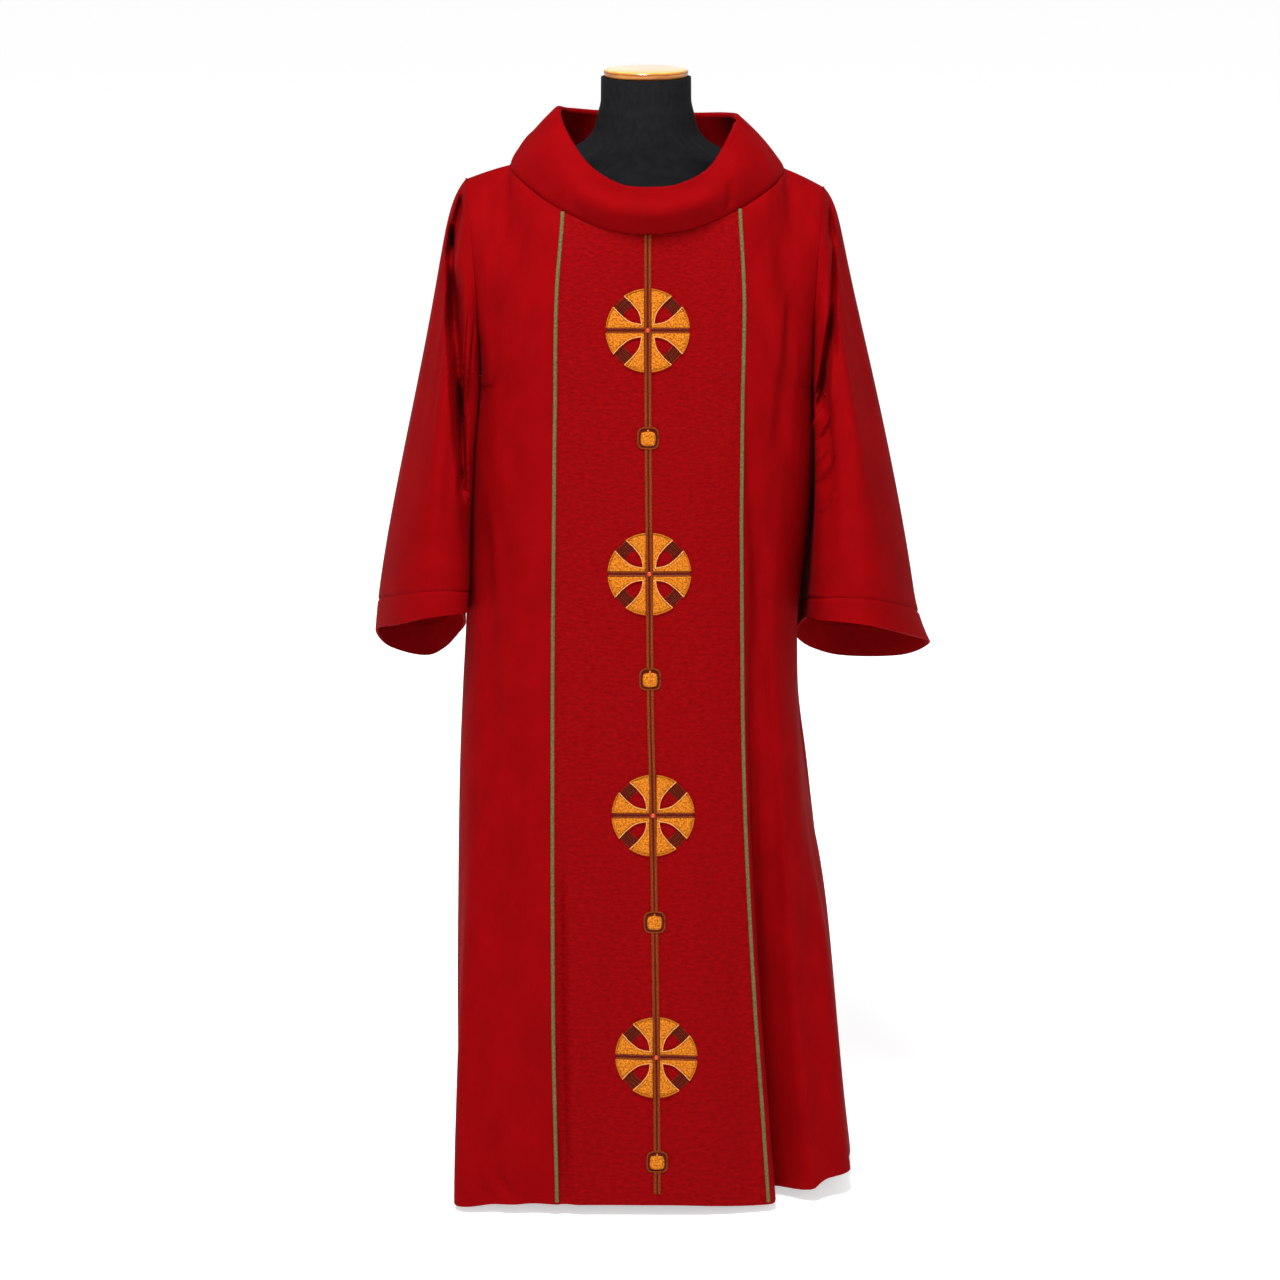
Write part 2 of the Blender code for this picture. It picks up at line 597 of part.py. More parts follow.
def sleeve_point(side, angle, t):
    """A point of the sleeve: t is 0 at the armhole and 1 at the cuff."""
    cols = table(SLEEVE_COLUMNS, SLEEVES[side])
    out = -1.0 if side == "left" else 1.0

    def value(name):
        return float(around(angle, cols["angle"], cols[name]))

    p0 = sleeve_start(side, angle)
    p1 = np.array([value("x"), value("y"), value("z")])
    d0 = np.array([out * value("out"), -value("fore"), -value("down")])
    d1 = np.array([out * value("end_out"), -value("end_fore"), -value("end_down")])
    p = hermite(p0, d0, p1, d1, t)
    reach = t / PUFF_REACH[side]
    p[0] += out * value("puff") * reach * math.exp(1 - reach) * (1 - t)
    p[0] += out * value("flare") * max(0.0, (t - 0.86) / 0.14) ** 2
    return p


def sleeve_fold(side, angle, t):
    """How far the sleeve is pressed in at an angle and a place along it."""
    depth = 0.0
    for row in SLEEVE_FOLDS:
        f = dict(zip(SLEEVE_FOLD_COLUMNS, row))
        if f["side"] != side or not f["start"] < t < f["end"] + 1e-9:
            continue
        if t < f["peak"]:
            grow = ease((t - f["start"]) / (f["peak"] - f["start"]))
        else:
            grow = 0.35 + 0.65 * ease((f["end"] - t) / (f["end"] - f["peak"]))
            grow *= 1.0 if f["end"] >= 1.0 else ease((f["end"] - t) / 0.15)
        at = f["angle_top"] + (f["angle_cuff"] - f["angle_top"]) * t
        depth += f["depth"] * grow * bump((angle - at) / f["width"])
    return depth


def sleeve_grid(side):
    """Rows of points round the sleeve, from the cuff to the armhole."""
    turn = 1.0 if side == "left" else -1.0
    angles = [(turn * 360.0 * i / SLEEVE_COLS) % 360.0 for i in range(SLEEVE_COLS)]
    rows = [1 - j / SLEEVE_ROWS for j in range(SLEEVE_ROWS + 1)]
    plain = np.array([[sleeve_point(side, a, t) for a in angles] for t in rows])
    depth = np.array([[sleeve_fold(side, a, t) for a in angles] for t in rows])
    return plain - grid_normals(plain, closed=True) * depth[..., None]


# ---------------------------------------------------------------- the outer points of every panel
grids = {
    "front_left": body_grid("front_left", COLS_SIDE),
    "front_centre": body_grid("front_centre", COLS_CENTRE),
    "front_right": body_grid("front_right", COLS_SIDE),
    "back": body_grid("back", COLS_BACK),
    "sleeve_left": sleeve_grid("left"),
    "sleeve_right": sleeve_grid("right"),
}
front = np.concatenate(
    (grids["front_left"], grids["front_centre"][:, 1:], grids["front_right"][:, 1:]), axis=1
)
front_normals = grid_normals(front)
a, b = COLS_SIDE, COLS_SIDE + COLS_CENTRE
normals = {
    "front_left": front_normals[:, : a + 1].copy(),
    "front_centre": front_normals[:, a : b + 1].copy(),
    "front_right": front_normals[:, b:].copy(),
    "back": grid_normals(grids["back"]),
    "sleeve_left": grid_normals(grids["sleeve_left"], closed=True),
    "sleeve_right": grid_normals(grids["sleeve_right"], closed=True),
}


def share_normals():
    """Points that several pieces share get one normal, so that their walls meet at the seam.
    Near the underarm the sleeve faces the body, so the two keep their own normals there."""
    faced = {}
    for name, grid in grids.items():
        for p, n in zip(grid.reshape(-1, 3), normals[name].reshape(-1, 3)):
            faced.setdefault(tuple(np.round(p * 1e5).astype(int)), []).append(n.copy())
    for name, grid in grids.items():
        flat = normals[name].reshape(-1, 3)
        for k, p in enumerate(grid.reshape(-1, 3)):
            near = faced[tuple(np.round(p * 1e5).astype(int))]
            n = sum(m for m in near if np.dot(m, flat[k]) > 0.3)
            flat[k] = n / np.linalg.norm(n)


share_normals()
for name in ("front_left", "front_centre", "front_right"):
    cloth_panel(name, grids[name], normals[name], RED_CREPE if name == "front_centre" else RED_TWILL)
for k, name in enumerate(("back_right", "back_centre", "back_left")):
    a, b = k * COLS_BACK // 3, (k + 1) * COLS_BACK // 3 + 1
    cloth_panel(name, grids["back"][:, a:b], normals["back"][:, a:b], RED_TWILL)
for name in ("sleeve_left", "sleeve_right"):
    faces = grid_faces(SLEEVE_ROWS, SLEEVE_COLS, closed=True)
    away = np.array([-SLEEVE_GAP if name == "sleeve_left" else SLEEVE_GAP, 0.0, 0.0])
    outer = pull_in(grids[name] + away, SEAM, left=False, right=False)
    inner = pull_in(grids[name] + away - normals[name] * CLOTH, SEAM, left=False, right=False)
    skin(name, outer.reshape(-1, 3), inner.reshape(-1, 3), faces, RED_TWILL)


# ---------------------------------------------------------------- collar
def collar_section(angle):
    """Closed outline of the collar at an angle: outer leaf, turned edge, inner leaf, and back."""
    seam = neckline(angle)
    fold = np.array([collar("fold_x", angle), collar("fold_y", angle), collar("fold_z", angle)])
    flat = np.array([seam[0] - 0.003, seam[1], 0.0])
    away = flat / np.linalg.norm(flat)
    up = np.array([0.0, 0.0, 1.0])
    leaf = fold - seam
    length = np.linalg.norm(leaf)
    leaf = leaf / length
    face = away - leaf * np.dot(away, leaf)
    face = face / np.linalg.norm(face)
    t = COLLAR_CLOTH
    r = COLLAR_TURN
    start = seam + leaf * 2 * SEAM
    outer = [start, seam + leaf * length * 0.5 + face * 0.0035]
    centre = fold - leaf * r - face * r
    for degrees in (15, 90, 165):
        c, s = math.cos(math.radians(degrees)), math.sin(math.radians(degrees))
        outer.append(centre + face * (r * c) + leaf * (r * s))
    down = -leaf * 0.86 - face * 0.10 - up * 0.12
    down = down / np.linalg.norm(down)
    side = face - down * np.dot(face, down)
    side = side / np.linalg.norm(side)
    first = centre - face * r
    outer.append(first + down * COLLAR_INSIDE * 0.5)
    outer.append(first + down * COLLAR_INSIDE)
    inner = [first + down * COLLAR_INSIDE + side * t, first + down * COLLAR_INSIDE * 0.5 + side * t]
    for degrees in (150, 30):
        c, s = math.cos(math.radians(degrees)), math.sin(math.radians(degrees))
        inner.append(centre + face * ((r - t) * c) + leaf * ((r - t) * s))
    inner.append(seam + leaf * length * 0.5 + face * (0.0035 - t))
    inner.append(start - face * t + leaf * 0.0012)
    return outer + inner


seam_l, seam_r = CORD_TOP_ANGLE["left"], CORD_TOP_ANGLE["right"]
collar_angles = [seam_l + (seam_r - seam_l) * i / COLS_CENTRE for i in range(COLS_CENTRE)]
collar_angles += [seam_r + (-90 - seam_r) * i / NECK_SIDE for i in range(NECK_SIDE)]
collar_angles += [-90 - 90 * i / NECK_BACK for i in range(2 * NECK_BACK)]
collar_angles += [90 + (seam_l - 90) * i / NECK_SIDE for i in range(NECK_SIDE)]
COLLAR_COLS = len(collar_angles)
rings = [collar_section(a) for a in collar_angles]
count = len(rings[0])
verts = [p for ring in rings for p in ring]
faces = []
for i in range(COLLAR_COLS):
    k = (i + 1) % COLLAR_COLS
    for j in range(count):
        m = (j + 1) % count
        faces.append((i * count + j, k * count + j, k * count + m, i * count + m))
add_object("collar", verts, faces, RED_TWILL, 50.0)


# ---------------------------------------------------------------- cord in the two front seams
def cord(name, side):
    """The cord lies along the seam, on the outer points of the two panels that meet there."""
    if side == "left":
        edge, mate = grids["front_centre"][:, 0], grids["front_centre"][:, 1]
        far = grids["front_left"][:, -2]
        normal = normals["front_centre"][:, 0]
    else:
        edge, mate = grids["front_centre"][:, -1], grids["front_right"][:, 1]
        far = grids["front_centre"][:, -2]
        normal = normals["front_centre"][:, -1]
    right = mate - edge
    left = far - edge
    right = right / np.linalg.norm(right, axis=1, keepdims=True)
    left = left / np.linalg.norm(left, axis=1, keepdims=True)
    half = PIPING_W / 2
    rows = len(edge)
    trim = 0.0030
    edge = edge.copy()
    d = edge[-2] - edge[-1]
    edge[-1] += trim * d / np.linalg.norm(d)
    d = edge[1] - edge[0]
    edge[0] += 0.001 * d / np.linalg.norm(d)
    outline = (
        (-1.0, CORD_GAP),
        (0.0, CORD_GAP),
        (1.0, CORD_GAP),
        (0.75, CORD_GAP + PIPING_H * 0.75),
        (0.0, CORD_GAP + PIPING_H),
        (-0.75, CORD_GAP + PIPING_H * 0.75),
    )
    verts = []
    for j in range(rows):
        for across, height in outline:
            step = right[j] * across * half if across > 0 else left[j] * -across * half
            verts.append(edge[j] + step + normal[j] * height)
    n = len(outline)
    faces = [tuple(range(n)), tuple((rows - 1) * n + k for k in reversed(range(n)))]
    for j in range(rows - 1):
        for k in range(n):
            m = (k + 1) % n
            faces.append((j * n + m, j * n + k, (j + 1) * n + k, (j + 1) * n + m))
    return add_object(name, verts, faces, CORD, 60.0)


cord("piping_left", "left")
cord("piping_right", "right")


# ---------------------------------------------------------------- embroidery on the centre front
centre_grid = grids["front_centre"]
centre_normals = normals["front_centre"]


def on_panel(x, z, height):
    """A point at height above the flat facets of the centre front, below x and z on its face."""
    rows = centre_grid.shape[0]
    j = max(r for r in range(rows - 1) if centre_grid[r, COLS_CENTRE // 2][2] <= z)
    for _ in range(3):
        low, high = centre_grid[j], centre_grid[j + 1]
        fz = (z - low[COLS_CENTRE // 2][2]) / (high[COLS_CENTRE // 2][2] - low[COLS_CENTRE // 2][2])
        line = low + (high - low) * fz
        i = int(np.clip(np.searchsorted(line[:, 0], x) - 1, 0, COLS_CENTRE - 1))
        fx = (x - line[i, 0]) / (line[i + 1, 0] - line[i, 0])
        here = line[i] + (line[i + 1] - line[i]) * fx
        if here[2] - z > 0.0005 and j > 0 and fz < (here[2] - z) / (high[i][2] - low[i][2]):
            j -= 1
        else:
            break
    fz -= (here[2] - z) / (high[i][2] - low[i][2])
    line = low + (high - low) * fz
    i = int(np.clip(np.searchsorted(line[:, 0], x) - 1, 0, COLS_CENTRE - 1))
    fx = (x - line[i, 0]) / (line[i + 1, 0] - line[i, 0])
    p = line[i] + (line[i + 1] - line[i]) * fx
    n0 = centre_normals[j, i] * (1 - fx) + centre_normals[j, i + 1] * fx
    n1 = centre_normals[j + 1, i] * (1 - fx) + centre_normals[j + 1, i + 1] * fx
    n = n0 * (1 - fz) + n1 * fz
    return p + height * n / np.linalg.norm(n)


def middle_x(z):
    """x of the embroidered line at a height."""
    return body("mid", z)


def applique(name, flat, faces, x, z, thick, mat):
    """A raised piece from flat points (across, up) round (x, z), laid on the centre front."""
    low = [on_panel(x + a, z + b, TRIM_GAP) for a, b in flat]
    high = [on_panel(x + a, z + b, TRIM_GAP + thick) for a, b in flat]
    return skin(name, high, low, faces, mat, 60.0)


def ringed_cross():
    """Flat points and faces of a disc with four windows between the arms of the cross."""
    ring_r = (0.18, 0.40, 0.72, 1.0)
    flat = [(0.0, 0.0)]
    steps = 24
    for j, r in enumerate(ring_r):
        for i in range(steps):
            a = 360.0 * i / steps
            rr = r * CROSS_R
            if i % 6 == 3 and j == 1:
                rr *= 0.80
            if i % 6 in (2, 4) and j == 2:
                a += 4.0 if i % 6 == 2 else -4.0
            flat.append((rr * math.sin(math.radians(a)), rr * math.cos(math.radians(a))))
    faces = [[0, 1 + (i + 1) % steps, 1 + i] for i in range(steps)]
    for j in range(len(ring_r) - 1):
        for i in range(steps):
            if j == 1 and i % 6 in (2, 3):
                continue
            k = (i + 1) % steps
            base, over = 1 + j * steps, 1 + (j + 1) * steps
            faces.append([base + i, base + k, over + k, over + i])
    return flat, faces


cross_flat, cross_faces = ringed_cross()
for i, z in enumerate(CROSS_Z):
    applique("medallion_%d" % (i + 1), cross_flat, cross_faces, middle_x(z), z, TRIM_H, GOLD)


def rectangle(half_w, low, high, x_of, cols, rows):
    """Flat points and faces of an upright strip that follows x_of."""
    flat = []
    for j in range(rows + 1):
        z = low + (high - low) * j / rows
        for i in range(cols + 1):
            flat.append((x_of(z) - half_w + 2 * half_w * i / cols, z))
    return flat, grid_faces(rows, cols)


for i, z in enumerate(SQUARE_Z):
    h = SQUARE_HALF
    flat = [(-h, -h), (0, -h), (h, -h), (-h, 0), (0, 0), (h, 0)]
    flat += [(-h, h * 0.72), (-h * 0.62, h), (0, h), (h * 0.62, h), (h, h * 0.72)]
    faces = [[0, 1, 4, 3], [1, 2, 5, 4], [3, 4, 8, 7, 6], [4, 5, 10, 9, 8]]
    applique("square_%d" % (i + 1), flat, faces, middle_x(z), z, TRIM_H, GOLD)

# the band runs between the ornaments, with a small gap before each
stops = [BAND_TOP_Z]
for z_cross, z_square in zip(CROSS_Z, SQUARE_Z):
    stops += [z_cross + CROSS_R + FIT_GAP, z_cross - CROSS_R - FIT_GAP]
    stops += [z_square + SQUARE_HALF + FIT_GAP, z_square - SQUARE_HALF - FIT_GAP]
stops.append(BAND_END_Z)
for i in range(0, len(stops), 2):
    high_z, low_z = stops[i], stops[i + 1]
    rows = max(1, round((high_z - low_z) / 0.022))
    flat, faces = rectangle(BAND_HALF, low_z, high_z, middle_x, 1, rows)
    applique("band_%d" % (i // 2 + 1), flat, faces, 0.0, 0.0, TRIM_H * 0.75, BAND)


# ---------------------------------------------------------------- dress form
def ring_loft(name, rings, mat, crease=40.0):
    """A closed solid through level rings of equal counts, from the lowest to the highest."""
    n = len(rings[0])
    verts = [p for ring in rings for p in ring]
    faces = [tuple(reversed(range(n)))]
    for j in range(len(rings) - 1):
        for i in range(n):
            k = (i + 1) % n
            faces.append((j * n + i, j * n + k, (j + 1) * n + k, (j + 1) * n + i))
    last = (len(rings) - 1) * n
    faces.append(tuple(last + i for i in range(n)))
    return add_object(name, verts, faces, mat, crease)


def torso_ring(z, n_points=26):
    half = float(smooth(z, torso_table["z"], torso_table["half"]))
    deep_f = float(smooth(z, torso_table["z"], torso_table["front"]))
    deep_b = float(smooth(z, torso_table["z"], torso_table["back"]))
    n = float(smooth(z, torso_table["z"], torso_table["n"]))
    ring = []
    for i in range(n_points):
        a = 2 * math.pi * i / n_points
        c, s = math.cos(a), math.sin(a)
        deep = deep_b if s >= 0 else deep_f
        x = math.copysign(abs(c) ** (2 / n), c) * half
        y = math.copysign(abs(s) ** (2 / n), s) * deep
        ring.append((x, y + NECK_Y, z))
    return ring


def turned(name, profile, n_points, mat, y=0.0):
    """A turned solid from (radius, z) pairs, lowest first."""
    rings = []
    for r, z in profile:
        ring = []
        for i in range(n_points):
            a = 2 * math.pi * i / n_points
            ring.append((r * math.cos(a), y + r * math.sin(a), z))
        rings.append(ring)
    return ring_loft(name, rings, mat)


ring_loft("form_torso", [torso_ring(row[0]) for row in TORSO], JERSEY)
turned(
    "form_base",
    ((BASE_R - 0.001, 0.0), (BASE_R, 0.001), (BASE_R, BASE_H - 0.0025), (BASE_R - 0.0025, BASE_H)),
    36,
    BASE,
)
turned(
    "form_pole",
    ((POLE_R, BASE_H + FIT_GAP), (POLE_R, TORSO_Z - FIT_GAP)),
    24,
    STEEL,
)
cap_z = NECK_TOP_Z + FIT_GAP
turned(
    "neck_cap",
    (
        (0.0507, cap_z),
        (0.0527, cap_z + 0.0018),
        (0.0527, cap_z + CAP_H - 0.0036),
        (0.0514, cap_z + CAP_H - 0.0013),
        (0.0484, cap_z + CAP_H),
    ),
    32,
    WOOD,
    NECK_Y,
)
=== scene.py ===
# %% [markdown]
# # A dalmatic on a dress form
# This lesson builds a red dalmatic, the wide tunic that a deacon wears, as it hangs on a limbless
# dress form. The cloth comes first, because everything else is sewn onto it. The measuring model
# of the garment is loaded as a frame, and each of its plain solids is then replaced by a piece
# with real cloth, thread, wood or steel on it.

import math

import bmesh
import bpy
import numpy as np
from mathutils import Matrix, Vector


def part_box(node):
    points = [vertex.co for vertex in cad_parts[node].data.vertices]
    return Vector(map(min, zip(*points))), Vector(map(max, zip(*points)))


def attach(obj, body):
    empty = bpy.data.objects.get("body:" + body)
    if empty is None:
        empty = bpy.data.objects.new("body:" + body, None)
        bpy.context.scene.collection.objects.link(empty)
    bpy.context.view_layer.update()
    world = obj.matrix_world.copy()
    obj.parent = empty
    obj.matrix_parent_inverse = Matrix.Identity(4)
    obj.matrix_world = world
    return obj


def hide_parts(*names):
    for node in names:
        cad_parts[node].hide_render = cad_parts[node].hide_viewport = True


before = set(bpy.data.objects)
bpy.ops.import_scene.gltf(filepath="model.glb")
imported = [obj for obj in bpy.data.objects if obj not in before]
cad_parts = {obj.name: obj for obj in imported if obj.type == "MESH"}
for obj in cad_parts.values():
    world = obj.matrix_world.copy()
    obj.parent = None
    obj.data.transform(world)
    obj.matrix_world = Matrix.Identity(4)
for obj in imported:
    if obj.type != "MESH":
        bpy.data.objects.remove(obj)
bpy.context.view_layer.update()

# %% [markdown]
# ## The camera
# The garment is seen from the front by a long lens, a little above the collar and looking down at
# the waist. A long lens keeps the upright seams upright, so it is set before anything is modelled
# and every later picture can be compared with the same view.

# %% Camera
LENS, EYE, LOOKS_DOWN = 135.59, (-0.0075, -6.0, 2.054), 12.72


def add(name, data):
    """Puts an object into the scene."""
    obj = bpy.data.objects.new(name, data)
    bpy.context.scene.collection.objects.link(obj)
    return obj


eye = add("camera", bpy.data.cameras.new("camera"))
eye.location = EYE
eye.rotation_euler = (math.radians(90 - LOOKS_DOWN), 0, 0)
eye.data.lens = LENS
eye.data.sensor_width = 36
bpy.context.scene.camera = eye
print("camera", EYE, LENS, "mm")

# %% [markdown]
# ## Curves through a few measured values
# A pattern cutter gives a garment as a few widths and lengths, and the cloth runs smoothly from
# one to the next. Two helpers do the same: one for a table that goes up the body, and one for a
# table that goes round the neck or a sleeve. They take whole arrays, so that a fine surface is
# quick to work out. The rest are small tools for soft starts, directions and lengths.


# %% Smooth curves
def blend(p0, d0, p1, d1, t):
    """A curve from p0, leaving along d0, to p1, arriving along d1, read at t from 0 to 1."""
    start = p0 * (1 + 2 * t) * (1 - t) ** 2 + d0 * t * (1 - t) ** 2
    return start + p1 * t * t * (3 - 2 * t) + d1 * t * t * (t - 1)


def hermite(p0, d0, p1, d1, t):
    """The same curve through points in space."""
    return blend(p0, d0, p1, d1, np.asarray(t, float)[..., None])


def smooth(x, xs, ys):
    """A curve through (xs, ys) that never overshoots, read at x."""
    xs, ys = np.asarray(xs, float), np.asarray(ys, float)
    d = np.diff(ys) / np.diff(xs)
    m = np.zeros_like(ys)
    same = d[:-1] * d[1:] > 0
    m[1:-1][same] = 2 * (d[:-1] * d[1:])[same] / (d[:-1] + d[1:])[same]
    m[0], m[-1] = d[0], d[-1]
    x = np.clip(x, xs[0], xs[-1])
    i = np.clip(np.searchsorted(xs, x) - 1, 0, len(xs) - 2)
    h = xs[i + 1] - xs[i]
    return blend(ys[i], m[i] * h, ys[i + 1], m[i + 1] * h, (x - xs[i]) / h)


def around(angle, angles, values):
    """A closed curve through values at rising angles over one turn, read at angle."""
    angles, values = np.asarray(angles, float), np.asarray(values, float)
    a = np.concatenate((angles[-2:] - 360, angles, angles[:3] + 360))
    v = np.concatenate((values[-2:], values, values[:3]))
    m = (v[2:] - v[:-2]) / (a[2:] - a[:-2])
    x = (np.asarray(angle, float) - angles[0]) % 360 + angles[0]
    k = np.clip(np.searchsorted(a, x, side="right") - 1, 1, len(a) - 3)
    h = a[k + 1] - a[k]
    return blend(v[k], m[k - 1] * h, v[k + 1], m[k] * h, (x - a[k]) / h)


def ease(t):
    """0 to 1 with flat ends."""
    t = np.clip(t, 0.0, 1.0)
    return t * t * (3 - 2 * t)


def bump(t):
    """1 at 0, falling smoothly to 0 at -1 and +1."""
    return np.where(np.abs(t) < 1, 0.5 * (1 + np.cos(np.pi * np.clip(t, -1, 1))), 0.0)


def squared(v, n):
    """A sine or cosine, bent so that an ellipse gets squarer corners as n grows."""
    return np.sign(v) * np.abs(v) ** (2 / n)


def vector(*parts):
    """One array of points from arrays of x, y and z."""
    return np.stack(np.broadcast_arrays(*[np.asarray(p, float) for p in parts]), axis=-1)


def unit(v):
    """Directions one metre long."""
    return v / np.linalg.norm(v, axis=-1, keepdims=True)


def lengths(points):
    """How far along the cloth each point of a path, or each row of a grid, lies."""
    step = np.linalg.norm(np.diff(points, axis=0), axis=-1)
    return np.concatenate((0 * step[:1], np.cumsum(step, axis=0)))


FORWARD = np.array([0, -1.0, 0])
print("half way up a step of 1:", float(ease(0.5)))

# %% [markdown]
# ## The body's measures
# Each row is one level of the body, with its half widths, its depths and how square its corners
# are. Cloth that hangs from two shoulders is nearly flat in front and turns quickly at the sides,
# which a circle can't give, so each level is a squared-off ellipse. The tables are in
# millimetres, as a tailor writes them, and everything worked out from them is in metres.

# %% Levels of the body
UNDERARM_Z = 1.040
SIDE_Y = 0.004
LEVELS = ("z", "left", "right", "front", "back", "n_fl", "n_fr", "n_bk", "cord_l", "cord_r", "mid")
BODY = (
    (0, 241, 269.5, 214, 196, 6, 3, 2.7, -112.2, 156.2, 14.5),
    (120, 241.2, 255.5, 205, 187, 5.5, 2.95, 2.65, -114.7, 148, 13.8),
    (250, 241.8, 240.5, 194.5, 178, 5, 2.9, 2.6, -116.8, 138.2, 12.5),
    (400, 240.2, 223.5, 184, 167, 4.5, 2.85, 2.55, -117.1, 129, 10.5),
    (540, 237.5, 207, 175, 156, 4, 2.75, 2.5, -116.7, 122.8, 8.2),
    (650, 232.8, 194.5, 168, 147, 3.6, 2.65, 2.45, -116.3, 120.2, 5.5),
    (720, 228.8, 193.5, 163, 142, 3.45, 2.65, 2.45, -115.8, 119.5, 4.8),
    (800, 225.5, 200, 158, 137, 3.35, 2.75, 2.6, -115, 118.8, 4.2),
    (900, 223, 211, 153, 131, 3.4, 2.95, 2.8, -113.8, 118, 3.2),
    (970, 218, 214, 150.5, 127.5, 3.6, 3.2, 3.1, -113, 118.5, 2.7),
    (1040, 209, 210, 148, 124, 3.8, 3.6, 3.4, -111.8, 119.2, 2.2),
    (1150, 208, 209, 145, 121, 3.8, 3.7, 3.4, -109.8, 120.5, 2),
)
HEM_TURN = (0, 30, 52, 90, 180, 270, 305, 318, 335)
HEM_Z = (15, 12.5, 7.5, 11, 13, 27, 29, 15, 10.5)
levels = {name: np.array([row[i] for row in BODY]) for i, name in enumerate(LEVELS)}
for name in set(LEVELS) - {"n_fl", "n_fr", "n_bk"}:
    levels[name] = levels[name] / 1000


def body(name, z):
    return smooth(z, levels["z"], levels[name])


def section(z, turn):
    """Points of the level line at z; turn 0 is the front, 90 the viewer's left, 180 the back."""
    s, c = np.sin(np.radians(turn)), np.cos(np.radians(turn))
    wide = np.where(s >= 0, body("left", z), body("right", z))
    deep = np.where(c >= 0, body("front", z), body("back", z))
    n = np.where(c >= 0, np.where(s >= 0, body("n_fl", z), body("n_fr", z)), body("n_bk", z))
    y = -squared(c, n) * deep
    return vector(-squared(s, n) * wide, y + SIDE_Y * np.abs(s), z)


print("waist is", round(float(body("left", 0.72) + body("right", 0.72)), 3), "m wide")

# %% [markdown]
# ## Panels, and the large folds they hang in
# The front is three panels joined by two corded seams. The back is worked out in one piece and
# cut into three afterwards. A place on a panel is u across it, from 0 to 1, and a height. The
# large folds are a short table: each starts somewhere under the chest, drifts sideways as it
# falls, and is deepest at the hem.

# %% Places on the panels
# Panel, place above and at the hem, width (shares of the panel), depth, top, full.
FOLDS = (
    ("front_right", 0.16, 0.17, 0.155, 56, 980, 80),
    ("front_right", 0.62, 0.58, 0.22, -14, 700, 60),
    ("front_left", 0.52, 0.46, 0.26, -23, 600, 20),
    ("front_left", 0.9, 0.93, 0.1, 6, 420, 20),
    ("front_centre", 0.06, 0.05, 0.06, 3, 460, 60),
    ("back", 0.16, 0.14, 0.075, 19, 900, 40),
    ("back", 0.31, 0.29, 0.07, -15, 860, 40),
    ("back", 0.47, 0.49, 0.09, 23, 960, 60),
    ("back", 0.66, 0.68, 0.08, -17, 820, 40),
    ("back", 0.83, 0.85, 0.08, 20, 900, 40),
)


def front_turn(z, x):
    """The turn at which the front of the level line reaches x."""
    left = (np.clip(-x, 0, None) / body("left", z)) ** (body("n_fl", z) / 2)
    right = (np.clip(x, 0, None) / body("right", z)) ** (body("n_fr", z) / 2)
    return np.degrees(np.arcsin(np.minimum(left, 1)) - np.arcsin(np.minimum(right, 1)))


def panel_turn(panel, u, z):
    """The turn of the place u across a panel."""
    if panel == "front_centre":
        return front_turn(z, body("cord_l", z) + (body("cord_r", z) - body("cord_l", z)) * u)
    if panel == "front_left":
        return 90 + (front_turn(z, body("cord_l", z)) - 90) * u
    if panel == "front_right":
        edge = front_turn(z, body("cord_r", z))
        return edge + (-90 - edge) * u
    return 270 - 180 * u + 0 * z


def level_run(z, turn, step):
    """The direction of the level line at a turn."""
    return unit(section(z, turn + step) - section(z, turn - step))


def skirt(panel, u, z):
    """Points of a panel below the underarm, with its large folds."""
    turn = panel_turn(panel, u, z)
    depth = np.zeros(np.broadcast(u, z).shape)
    for name, at_top, at_hem, width, *sizes in FOLDS:
        if name == panel:
            deep, top, full = np.array(sizes) / 1000
            at = at_hem + (at_top - at_hem) * z / top
            full_at = ease((top - z) / (top - full))
            depth = depth + deep * full_at * bump((u - at) / width)
    t = level_run(z, turn, 0.5)
    return section(z, turn) + depth[..., None] * vector(t[..., 1], -t[..., 0], 0)


print("hem of the centre panel", np.round(skirt("front_centre", np.array([0, 1.0]), 0.01), 3))

# %% [markdown]
# ## Neckline, shoulders and armholes
# Above the underarm the cloth no longer goes round in level lines: it climbs over the chest to
# the collar and the shoulder seams, and its side edges follow the armholes. Every upright line is
# a curve in two pieces that starts on the highest level line, passes the widest place of the
# armhole and ends on the collar or the shoulder.

